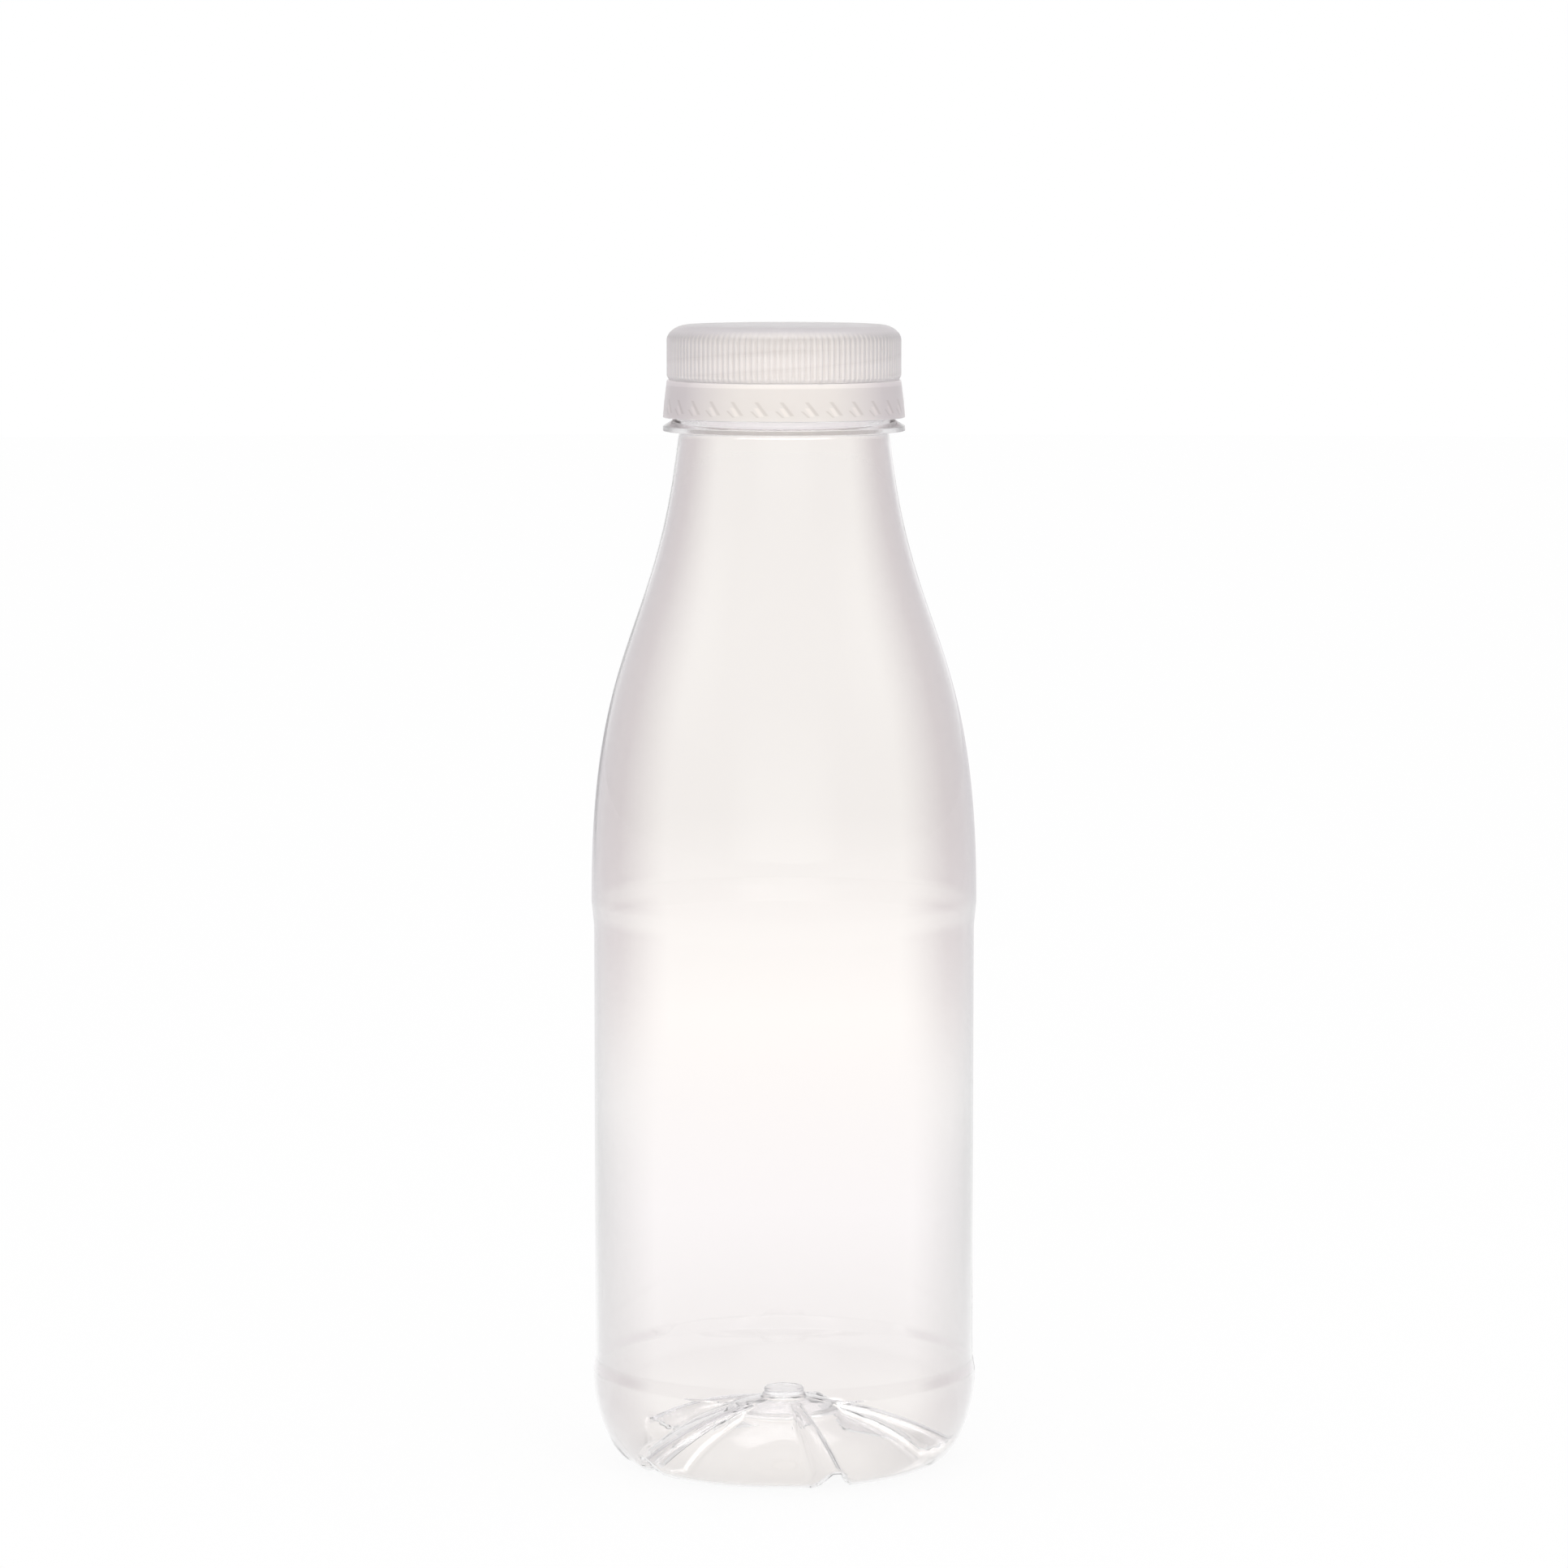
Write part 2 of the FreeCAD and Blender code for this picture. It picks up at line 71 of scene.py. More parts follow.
def roundedPath(corners, steps=5):  # corners are (r, z) or (r, z, radius) in mm
    made = []
    for number, corner in enumerate(corners):
        radius = corner[2] if len(corner) > 2 else 0
        here = Vector(corner[:2])
        if not radius or number in (0, len(corners) - 1):
            made.append(tuple(here))
            continue
        back = Vector(corners[number - 1][:2]) - here
        ahead = Vector(corners[number + 1][:2]) - here
        turn = math.pi - back.angle(ahead)
        reach = min(radius * math.tan(turn / 2), back.length * mostOfRun, ahead.length * mostOfRun)
        first = here + back.normalized() * reach
        last = here + ahead.normalized() * reach
        for step in range(steps + 1):  # a quadratic stretch is near enough to a small arc
            t = step / steps
            spot = first * (1 - t) ** 2 + here * 2 * t * (1 - t) + last * t * t
            made.append(tuple(spot))
    return made


def dense(path, longest):  # splits long straight runs so that shading stays even
    made = [path[0]]
    for here in path[1:]:
        run = Vector(here) - Vector(made[-1])
        pieces = max(1, math.ceil(run.length / longest))
        origin = Vector(made[-1])
        for piece in range(1, pieces + 1):
            made.append(tuple(origin + run * (piece / pieces)))
    return made


def latheMesh(name, path, columns, place, loop=False, arc=fullTurn):
    # path is [(r, z)] in mm, place(r, z, angle, row) gives the point, and a row at r 0 is one pole point
    whole = arc == fullTurn
    verts = []
    rows = []
    for number, (r, z) in enumerate(path):
        if r == 0:
            rows.append([len(verts)] * (columns + 1))
            verts.append(Vector((0, 0, z)) * mm)
            continue
        row = []
        for column in range(columns if whole else columns + 1):
            row.append(len(verts))
            angle = arc * column / columns - (0 if whole else arc / 2)
            verts.append(place(r, z, angle, number) * mm)
        rows.append(row + row[:1] if whole else row)
    faces = []
    pairs = list(zip(rows, rows[1:])) + ([(rows[-1], rows[0])] if loop else [])
    for low, high in pairs:
        for column in range(columns):
            face = [low[column], low[column + 1], high[column + 1], high[column]]
            face = [v for k, v in enumerate(face) if v not in face[:k]]
            faces.append(face)
    mesh = bpy.data.meshes.new(name)
    mesh.from_pydata([tuple(v) for v in verts], [], faces)
    mesh.polygons.foreach_set("use_smooth", [True] * len(mesh.polygons))
    mesh.update()
    return mesh


def addObject(name, mesh):
    made = bpy.data.objects.new(name, mesh)
    bpy.context.scene.collection.objects.link(made)
    return made


def polar(r, z, angle):
    return Vector((r * math.cos(angle), r * math.sin(angle), z))


def newTree(name, inputs):
    tree = bpy.data.node_groups.new(name, "GeometryNodeTree")
    tree.interface.new_socket("Geometry", in_out="INPUT", socket_type="NodeSocketGeometry")
    for label, kind in inputs:
        tree.interface.new_socket(label, in_out="INPUT", socket_type=kind)
    tree.interface.new_socket("Geometry", in_out="OUTPUT", socket_type="NodeSocketGeometry")
    return tree


def addNode(tree, kind, **settings):
    node = tree.nodes.new(kind)
    for key, value in settings.items():
        setattr(node, key, value)
    return node


def ringTree():  # repeats the modifier's own mesh evenly round the Z axis and welds the seams
    tree = newTree("ringOfSectors", [
        ("Count", "NodeSocketInt"),
        ("First Angle", "NodeSocketFloat"),
        ("Weld Distance", "NodeSocketFloat"),
        ("Finish", "NodeSocketMaterial"),
    ])
    link = tree.links.new
    given = addNode(tree, "NodeGroupInput")
    points = addNode(tree, "GeometryNodeMeshLine", mode="OFFSET")
    points.inputs["Offset"].default_value = (0, 0, 0)
    link(given.outputs["Count"], points.inputs["Count"])
    number = addNode(tree, "GeometryNodeInputIndex")
    step = addNode(tree, "ShaderNodeMath", operation="DIVIDE")
    step.inputs[0].default_value = fullTurn
    link(given.outputs["Count"], step.inputs[1])
    angle = addNode(tree, "ShaderNodeMath", operation="MULTIPLY_ADD")
    link(number.outputs[0], angle.inputs[0])
    link(step.outputs[0], angle.inputs[1])
    link(given.outputs["First Angle"], angle.inputs[2])
    turn = addNode(tree, "ShaderNodeCombineXYZ")
    link(angle.outputs[0], turn.inputs["Z"])
    place = addNode(tree, "GeometryNodeInstanceOnPoints")
    link(points.outputs["Mesh"], place.inputs["Points"])
    link(given.outputs["Geometry"], place.inputs["Instance"])
    link(turn.outputs[0], place.inputs["Rotation"])
    real = addNode(tree, "GeometryNodeRealizeInstances")
    link(place.outputs["Instances"], real.inputs["Geometry"])
    weld = addNode(tree, "GeometryNodeMergeByDistance")
    link(real.outputs["Geometry"], weld.inputs["Geometry"])
    link(given.outputs["Weld Distance"], weld.inputs["Distance"])
    finish = addNode(tree, "GeometryNodeSetMaterial")
    link(weld.outputs["Geometry"], finish.inputs["Geometry"])
    link(given.outputs["Finish"], finish.inputs["Material"])
    out = addNode(tree, "NodeGroupOutput")
    link(finish.outputs["Geometry"], out.inputs["Geometry"])
    return tree


ringOfSectors = ringTree()


def threadTree():  # a screw thread: one helix swept with a trapezoid, repeated for each start
    tree = newTree("screwThread", [
        ("Starts", "NodeSocketInt"),
        ("Lead", "NodeSocketFloat"),
        ("Turns", "NodeSocketFloat"),
        ("Root Radius", "NodeSocketFloat"),
        ("Depth", "NodeSocketFloat"),
        ("Root Width", "NodeSocketFloat"),
        ("Crest Width", "NodeSocketFloat"),
        ("Height", "NodeSocketFloat"),
        ("Resolution", "NodeSocketInt"),
        ("Finish", "NodeSocketMaterial"),
    ])
    link = tree.links.new
    given = addNode(tree, "NodeGroupInput")
    rise = addNode(tree, "ShaderNodeMath", operation="MULTIPLY")
    link(given.outputs["Lead"], rise.inputs[0])
    link(given.outputs["Turns"], rise.inputs[1])
    helix = addNode(tree, "GeometryNodeCurveSpiral")
    link(given.outputs["Resolution"], helix.inputs["Resolution"])
    link(given.outputs["Turns"], helix.inputs["Rotations"])
    link(given.outputs["Root Radius"], helix.inputs["Start Radius"])
    link(given.outputs["Root Radius"], helix.inputs["End Radius"])
    link(rise.outputs[0], helix.inputs["Height"])
    upright = addNode(tree, "GeometryNodeSetCurveNormal", mode="Z_UP")
    link(helix.outputs["Curve"], upright.inputs["Curve"])
    section = addNode(tree, "GeometryNodeCurvePrimitiveQuadrilateral", mode="TRAPEZOID")
    link(given.outputs["Root Width"], section.inputs["Bottom Width"])
    link(given.outputs["Crest Width"], section.inputs["Top Width"])
    link(given.outputs["Depth"], section.inputs["Height"])
    section.inputs["Offset"].default_value = 0
    quarter = addNode(tree, "GeometryNodeTransform")
    quarter.inputs["Rotation"].default_value = (0, 0, math.pi / 2)
    link(section.outputs["Curve"], quarter.inputs["Geometry"])
    sweep = addNode(tree, "GeometryNodeCurveToMesh")
    sweep.inputs["Fill Caps"].default_value = True
    link(upright.outputs["Curve"], sweep.inputs["Curve"])
    link(quarter.outputs["Geometry"], sweep.inputs["Profile Curve"])
    lift = addNode(tree, "ShaderNodeCombineXYZ")
    link(given.outputs["Height"], lift.inputs["Z"])
    raised = addNode(tree, "GeometryNodeTransform")
    link(sweep.outputs["Mesh"], raised.inputs["Geometry"])
    link(lift.outputs[0], raised.inputs["Translation"])
    points = addNode(tree, "GeometryNodeMeshLine", mode="OFFSET")
    points.inputs["Offset"].default_value = (0, 0, 0)
    link(given.outputs["Starts"], points.inputs["Count"])
    step = addNode(tree, "ShaderNodeMath", operation="DIVIDE")
    step.inputs[0].default_value = fullTurn
    link(given.outputs["Starts"], step.inputs[1])
    number = addNode(tree, "GeometryNodeInputIndex")
    angle = addNode(tree, "ShaderNodeMath", operation="MULTIPLY")
    link(number.outputs[0], angle.inputs[0])
    link(step.outputs[0], angle.inputs[1])
    turn = addNode(tree, "ShaderNodeCombineXYZ")
    link(angle.outputs[0], turn.inputs["Z"])
    place = addNode(tree, "GeometryNodeInstanceOnPoints")
    link(points.outputs["Mesh"], place.inputs["Points"])
    link(raised.outputs["Geometry"], place.inputs["Instance"])
    link(turn.outputs[0], place.inputs["Rotation"])
    real = addNode(tree, "GeometryNodeRealizeInstances")
    link(place.outputs["Instances"], real.inputs["Geometry"])
    finish = addNode(tree, "GeometryNodeSetMaterial")
    link(real.outputs["Geometry"], finish.inputs["Geometry"])
    link(given.outputs["Finish"], finish.inputs["Material"])
    out = addNode(tree, "NodeGroupOutput")
    link(finish.outputs["Geometry"], out.inputs["Geometry"])
    return tree


def growMesh(name, mesh, tree, values):  # runs a tree on a mesh and returns the plain result
    host = addObject(name + "Host", mesh)
    modifier = host.modifiers.new(name, "NODES")
    modifier.node_group = tree
    sockets = {item.name: item.identifier for item in tree.interface.items_tree if item.in_out == "INPUT"}
    for label, value in values.items():
        modifier[sockets[label]] = value
    result = bpy.data.meshes.new_from_object(host.evaluated_get(bpy.context.evaluated_depsgraph_get()))
    host.modifiers.remove(modifier)
    bpy.data.objects.remove(host)
    result.name = name
    return result


def joined(name, meshes, material):  # one mesh from several, all in one finish
    whole = bpy.data.meshes.new(name)
    verts = []
    faces = []
    smooth = []
    for mesh in meshes:
        start = len(verts)
        verts += [tuple(v.co) for v in mesh.vertices]
        faces += [[start + v for v in p.vertices] for p in mesh.polygons]
        smooth += [p.use_smooth for p in mesh.polygons]
    whole.from_pydata(verts, [], faces)
    whole.polygons.foreach_set("use_smooth", smooth)
    whole.materials.append(material)
    whole.update()
    return addObject(name, whole)


def newMaterial(name):
    material = bpy.data.materials.new(name)
    material.use_nodes = True
    material.node_tree.nodes.clear()
    shader = material.node_tree.nodes.new("ShaderNodeBsdfPrincipled")
    out = material.node_tree.nodes.new("ShaderNodeOutputMaterial")
    material.node_tree.links.new(shader.outputs[0], out.inputs["Surface"])
    return material, material.node_tree, shader


def mouldRipple():  # the slight unevenness of moulded plastic: long waves and fine grain, as a height
    group = bpy.data.node_groups.new("mouldRipple", "ShaderNodeTree")
    sockets = (("Wave Scale", 20.0), ("Stretch", 0.2), ("Grain Scale", 900.0), ("Grain Share", 0.1))
    for label, value in sockets:
        socket = group.interface.new_socket(label, in_out="INPUT", socket_type="NodeSocketFloat")
        socket.default_value = value
    group.interface.new_socket("Height", in_out="OUTPUT", socket_type="NodeSocketFloat")
    link = group.links.new
    given = addNode(group, "NodeGroupInput")
    spots = addNode(group, "ShaderNodeTexCoord")
    tall = addNode(group, "ShaderNodeCombineXYZ")
    tall.inputs["X"].default_value = 1
    tall.inputs["Y"].default_value = 1
    link(given.outputs["Stretch"], tall.inputs["Z"])
    squeezed = addNode(group, "ShaderNodeVectorMath", operation="MULTIPLY")
    link(spots.outputs["Object"], squeezed.inputs[0])
    link(tall.outputs[0], squeezed.inputs[1])
    wave = addNode(group, "ShaderNodeTexNoise")
    wave.inputs["Detail"].default_value = 2
    link(squeezed.outputs[0], wave.inputs["Vector"])
    link(given.outputs["Wave Scale"], wave.inputs["Scale"])
    grain = addNode(group, "ShaderNodeTexNoise")
    grain.inputs["Detail"].default_value = 3
    link(spots.outputs["Object"], grain.inputs["Vector"])
    link(given.outputs["Grain Scale"], grain.inputs["Scale"])
    total = addNode(group, "ShaderNodeMath", operation="MULTIPLY_ADD")
    link(grain.outputs[0], total.inputs[0])
    link(given.outputs["Grain Share"], total.inputs[1])
    link(wave.outputs[0], total.inputs[2])
    out = addNode(group, "NodeGroupOutput")
    link(total.outputs[0], out.inputs["Height"])
    return group


ripple = mouldRipple()


def addRipple(tree, shader, values, strength, distance):
    waves = addNode(tree, "ShaderNodeGroup", node_tree=ripple)
    for label, value in values.items():
        waves.inputs[label].default_value = value
    bump = addNode(tree, "ShaderNodeBump")
    bump.inputs["Strength"].default_value = strength
    bump.inputs["Distance"].default_value = distance
    tree.links.new(waves.outputs[0], bump.inputs["Height"])
    tree.links.new(bump.outputs[0], shader.inputs["Normal"])
    return bump


clearLook = {
    "tint": (0.99, 0.985, 0.985, 1),
    "paintedEdgeShade": (0.85, 0.85, 0.855, 1),  # painted shade where the wall is seen nearly edge on
    # painted shade for the edges of the lower part of the bottle
    "paintedLowEdgeShade": (0.71, 0.705, 0.71, 1),
    "paintedStripeShade": (0.80, 0.77, 0.79, 1),  # painted shade over the lower ring
    # painted shade, darker towards the bottom of the heel
    "paintedHeelShade": (0.90, 0.895, 0.893, 1),
    "paintedLobeShade": (0.745, 0.71, 0.733, 1),  # painted shade on the darker flanks of the shoulder
    "roughness": 0.015,
    "ringRoughness": 0.12,  # the support ring scatters light
    "ior": 1.57,
    "ripple": {"Wave Scale": 55.0, "Stretch": 0.12, "Grain Scale": 900.0, "Grain Share": 0.02},
    "rippleStrength": 0.25,
    "rippleDepth": 0.0004,
    # shares of the painted shades by how far the wall is turned away
    "edgeTurn": ((0.28, 0), (0.45, 0.4), (0.75, 1)),
    "lobeTurn": ((0.22, 0), (0.50, 1), (0.66, 1), (0.71, 0.75)),
    "stripeTurn": ((0.28, 0), (0.38, 1)),
    # shares by height, where 1 is the tone span in metres
    "toneSpan": 0.2,
    "lobeRise": (
        (0.068, 0.5), (0.080, 0),  # heel and base
        (0.33, 0), (0.42, 0.7), (0.490, 0.95), (0.494, 0),  # top of the label panel
        (0.506, 0), (0.510, 1),  # shoulder
    ),
    "lowRise": ((0.22, 1), (0.33, 0)),
    "belowRing": ((0.919, 1), (0.923, 0)),
    "stripeRise": ((0.083, 0), (0.085, 1), (0.091, 1), (0.093, 0)),
    "heelRise": ((0.0, 1), (0.015, 0.7), (0.04, 0.25), (0.07, 0)),
    "ringRise": (0.922, 0.924, 0.935, 0.938),  # where the ring's roughness comes and goes
}


def mathNode(tree, operation, *values):
    node = addNode(tree, "ShaderNodeMath", operation=operation)
    for socket, value in zip(node.inputs, values):
        if isinstance(value, (int, float)):
            socket.default_value = value
        else:
            tree.links.new(value, socket)
    return node.outputs[0]


def grey(value):
    return (value, value, value, 1)


def colorRamp(tree, value, stops):
    ramp = addNode(tree, "ShaderNodeValToRGB")
    elements = ramp.color_ramp.elements
    while len(elements) < len(stops):
        elements.new(0.5)
    for element, (position, color) in zip(elements, stops):
        element.position = position
        element.color = color
    tree.links.new(value, ramp.inputs[0])
    return ramp.outputs[0]


def greyRamp(tree, value, stops):
    return colorRamp(tree, value, [(position, grey(share)) for position, share in stops])


def mixColor(tree, factor, first, second):
    mix = addNode(tree, "ShaderNodeMix", data_type="RGBA")
    for socket, value in (("A", first), ("B", second)):
        if isinstance(value, tuple):
            mix.inputs[socket].default_value = value
        else:
            tree.links.new(value, mix.inputs[socket])
    tree.links.new(factor, mix.inputs["Factor"])
    return mix.outputs["Result"]


def clearPlastic():
    material, tree, shader = newMaterial("clearBottlePlastic")
    look = clearLook
    shader.inputs["Transmission Weight"].default_value = 1
    shader.inputs["IOR"].default_value = look["ior"]
    facing = addNode(tree, "ShaderNodeLayerWeight")
    facing.inputs["Blend"].default_value = 0.5
    turned = facing.outputs["Facing"]
    # painted shade: the edges darken in the base colour where the wall turns away
    edge = greyRamp(tree, turned, look["edgeTurn"])
    lobe = greyRamp(tree, turned, look["lobeTurn"])
    spots = addNode(tree, "ShaderNodeTexCoord")
    parts = addNode(tree, "ShaderNodeSeparateXYZ")
    tree.links.new(spots.outputs["Object"], parts.inputs[0])
    level = addNode(tree, "ShaderNodeMapRange")
    level.inputs["From Max"].default_value = look["toneSpan"]
    tree.links.new(parts.outputs["Z"], level.inputs["Value"])
    height = greyRamp(tree, level.outputs[0], look["lobeRise"])
    lowPart = greyRamp(tree, level.outputs[0], look["lowRise"])
    belowRing = greyRamp(tree, level.outputs[0], look["belowRing"])
    # painted shade: the shoulder flanks, heel and top of the label panel darken where the wall turns away
    share = mathNode(tree, "MULTIPLY", mathNode(tree, "MULTIPLY", lobe, height), belowRing)
    edge = mathNode(tree, "MULTIPLY", edge, belowRing)
    paintedEdgeShade = mixColor(tree, lowPart, look["paintedEdgeShade"], look["paintedLowEdgeShade"])
    rim = mixColor(tree, edge, look["tint"], paintedEdgeShade)
    # painted shade: a darker stripe over the lower ring at the sides
    stripeRun = greyRamp(tree, turned, look["stripeTurn"])
    stripeRise = greyRamp(tree, level.outputs[0], look["stripeRise"])
    stripe = mathNode(tree, "MULTIPLY", stripeRun, stripeRise)
    # painted shade: the heel grows darker towards the bottom
    heel = greyRamp(tree, level.outputs[0], look["heelRise"])
    paintedShadeColor = mixColor(tree, share, rim, look["paintedLobeShade"])
    paintedShadeColor = mixColor(tree, stripe, paintedShadeColor, look["paintedStripeShade"])
    tree.links.new(mixColor(tree, heel, paintedShadeColor, look["paintedHeelShade"]), shader.inputs["Base Color"])
    smooth, rough = look["roughness"], look["ringRoughness"]
    soft = greyRamp(tree, level.outputs[0], zip(look["ringRise"], (smooth, rough, rough, smooth)))
    tree.links.new(soft, shader.inputs["Roughness"])
    addRipple(tree, shader, look["ripple"], look["rippleStrength"], look["rippleDepth"])
    return material


def aroundAxis():  # the place on a round part: Turn is 0 to 1 round the axis, Height is in mm
    group = bpy.data.node_groups.new("aroundAxis", "ShaderNodeTree")
    group.interface.new_socket("Turn", in_out="OUTPUT", socket_type="NodeSocketFloat")
    group.interface.new_socket("Height", in_out="OUTPUT", socket_type="NodeSocketFloat")
    spots = addNode(group, "ShaderNodeTexCoord")
    parts = addNode(group, "ShaderNodeSeparateXYZ")
    group.links.new(spots.outputs["Object"], parts.inputs[0])
    angle = mathNode(group, "ARCTAN2", parts.outputs["Y"], parts.outputs["X"])
    out = addNode(group, "NodeGroupOutput")
    group.links.new(mathNode(group, "DIVIDE", angle, fullTurn), out.inputs["Turn"])
    group.links.new(mathNode(group, "DIVIDE", parts.outputs["Z"], mm), out.inputs["Height"])
    return group


roundPlace = aroundAxis()


def between(tree, value, low, high):  # 1 inside a range, else 0
    return mathNode(tree, "MULTIPLY", mathNode(tree, "GREATER_THAN", value, low),
                    mathNode(tree, "LESS_THAN", value, high))


strokeCore = 0.3  # share of a stroke's width that is at full strength


def stroke(tree, across, up, start, slope, width, low, high):  # a slanted line as a mask
    middle = mathNode(tree, "MULTIPLY_ADD", up, slope, start)
    off = mathNode(tree, "ABSOLUTE", mathNode(tree, "SUBTRACT", across, middle))
    line = addNode(tree, "ShaderNodeMapRange", interpolation_type="SMOOTHSTEP")
    tree.links.new(off, line.inputs["Value"])
    line.inputs["From Min"].default_value = width
    line.inputs["From Max"].default_value = width * strokeCore
    return mathNode(tree, "MULTIPLY", line.outputs[0], between(tree, up, low, high))


milkyLook = {
    "cap": {
        # side is a painted shade of front, for where the surface turns away
        "front": (0.80, 0.765, 0.742, 1), "side": (0.63, 0.607, 0.62, 1),
        "roughness": 0.30, "through": 0.42, "depth": 0.0018,
        "span": (193.5, 203.5),  # heights in mm where the painted light and shade by height start and end
        "shade": ((0.0, 1.05), (0.06, 0.86), (0.33, 0.89), (0.55, 0.83),
                  (0.68, 0.83), (0.80, 0.73), (0.90, 0.93)),
    },
    "band": {
        # side is a painted shade of front, for where the surface turns away
        "front": (0.65, 0.62, 0.595, 1), "side": (0.515, 0.48, 0.492, 1),
        "roughness": 0.28, "through": 0.20, "depth": 0.0010,
        "span": (187.0, 193.0),
        # painted light: the band's top edge is made lighter
        "shade": ((0.0, 1.0), (0.97, 1.0), (1.0, 1.12)),
    },
    "paintedSideShadeTurn": ((0.08, 0), (0.45, 1)),
    # painted shade of the inner thread seen through the skirt
    "threadShade": (0.93, 0.925, 0.925, 1),
    # painted shade and painted highlight of the folded flaps seen through the band
    "flapShade": (0.87, 0.86, 0.85, 1),
    "flapLight": (1.10, 1.09, 1.08, 1),
    "threadLine": ((0.0, 1), (0.10, 0.4), (0.2, 0), (0.8, 0), (0.9, 0.4)),
    "threadSpread": 0.6,  # mm that the thread's shade reaches past its ends
    # painted strokes of one flap's shade and highlight: start, slope, width, low and high end
    "flapDark": (0.88, -0.48, 0.12, 0.12, 1.0),
    "flapFoot": (0.48, -0.67, 0.08, 0.0, 0.42),
    "flapGleam": (0.66, -0.42, 0.13, 0.08, 0.62),
    "ior": 1.5,
    "sheen": 0.2,
    "glow": 0.55,  # painted glow: emission that stands in for light scattering inside, for rays that come through the clear neck
    "ripple": {"Wave Scale": 120.0, "Stretch": 0.6, "Grain Scale": 2500.0, "Grain Share": 0.25},
    "rippleStrength": 0.06,
    "rippleDepth": 0.0002,
}


def milkyPlastic(name, look, paintedLightAndShadeMarks):
    material, tree, shader = newMaterial(name)
    shader.inputs["Roughness"].default_value = look["roughness"]
    shader.inputs["IOR"].default_value = milkyLook["ior"]
    shader.inputs["Specular IOR Level"].default_value = milkyLook["sheen"]
    shader.inputs["Transmission Weight"].default_value = look["through"]
    shader.inputs["Subsurface Weight"].default_value = 1
    shader.inputs["Subsurface Radius"].default_value = (1, 1, 1)
    shader.inputs["Subsurface Scale"].default_value = look["depth"]
    facing = addNode(tree, "ShaderNodeLayerWeight")
    facing.inputs["Blend"].default_value = 0.5
    # painted shade: the side colour where the surface turns away
    side = greyRamp(tree, facing.outputs["Facing"], milkyLook["paintedSideShadeTurn"])
    color = mixColor(tree, side, look["front"], look["side"])
    place = addNode(tree, "ShaderNodeGroup", node_tree=roundPlace)
    level = addNode(tree, "ShaderNodeMapRange")
    level.inputs["From Min"].default_value, level.inputs["From Max"].default_value = look["span"]
    tree.links.new(place.outputs["Height"], level.inputs["Value"])
    # painted light and shade by height
    shade = greyRamp(tree, level.outputs[0], look["shade"])
    # the painted light and shade by height and the painted marks multiply the colour
    for tone in (shade, paintedLightAndShadeMarks(tree, place, grey(1))):
        toned = addNode(tree, "ShaderNodeMix", data_type="RGBA", blend_type="MULTIPLY")
        toned.inputs["Factor"].default_value = 1
        tree.links.new(color, toned.inputs["A"])
        tree.links.new(tone, toned.inputs["B"])
        color = toned.outputs["Result"]
    tree.links.new(color, shader.inputs["Base Color"])
    # painted glow: emission, hidden from camera and diffuse rays, stands in for light scattered inside
    rays = addNode(tree, "ShaderNodeLightPath")
    outside = mathNode(tree, "MAXIMUM", rays.outputs["Is Camera Ray"], rays.outputs["Is Diffuse Ray"])
    tree.links.new(mixColor(tree, outside, color, grey(0)), shader.inputs["Emission Color"])
    shader.inputs["Emission Strength"].default_value = milkyLook["glow"]
    addRipple(tree, shader, milkyLook["ripple"], milkyLook["rippleStrength"], milkyLook["rippleDepth"])
    return material


bottlePlastic = clearPlastic()
print("materials made")


bottleSizes = {  # mm
    "wall": 0.40,
    "bodyInset": 0.45,  # label panel behind the bumper rings
    "heelTop": 15.7, "heelRun": 8.15, "heelRunPull": 5.4, "heelRisePull": 5.6,
    "bumperTop": 16.6, "labelLow": 19.0, "labelHigh": 96.7, "shoulderLow": 101.0, "neckLow": 178.8,
    "lowPull": 44.9, "highPull": 31.1, "neckSlope": 7.8,
    "ringLow": 184.8, "ringEdge": 0.85, "ringHigh": 187.0, "ringReach": 3.55, "ringRootReach": 1.4,
    "finish": 17.9, "finishWall": 1.2, "neckStep": 0.65, "beadLow": 190.3, "beadReach": 1.9,
    "footWidth": 1.6, "domeTop": 10.6, "domeRadius": 45.0, "domeStep": 0.7, "stepRadius": 10.0,
    "stepHalf": 0.7,
    "gateRadius": 3.5, "gateDraft": 0.5, "gateRise": 1.0, "gateWall": 1.15, "gateSkirt": 1.2,
    "neckWall": 0.45, "boreHigh": 194.5, "boreRelief": 0.6,
    "columns": 240, "domeRows": 40, "heelRows": 26, "shoulderRows": 36, "threadRow": 0.4,
}
ribSizes = {  # the hollow ribs of the base
    "count": 5, "crown": 10.35, "arc": 63.0, "crest": 0.75, "tip": 0.35, "flank": math.radians(21),
    "blend": (0.6, 2.2), "blendRange": (14, 25),  # crisp inside the first radius, soft outside the second
    "clearHub": 4,
}
threadSizes = {
    "starts": 3, "lead": 9.6, "turn": 140 / 360, "depth": 1.0, "rootWidth": 1.6, "crestWidth": 0.7,
    "neckHeight": 196.95, "capHeight": 195.35, "clearance": 0.35, "fade": 0.03,
    "bite": 0.15, "resolution": 60,  # the cap's thread sinks this far into the skirt
}

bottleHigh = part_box("bottle")[1] / mm
bumperRadius = bottleHigh.x
mouthHeight = bottleHigh.z


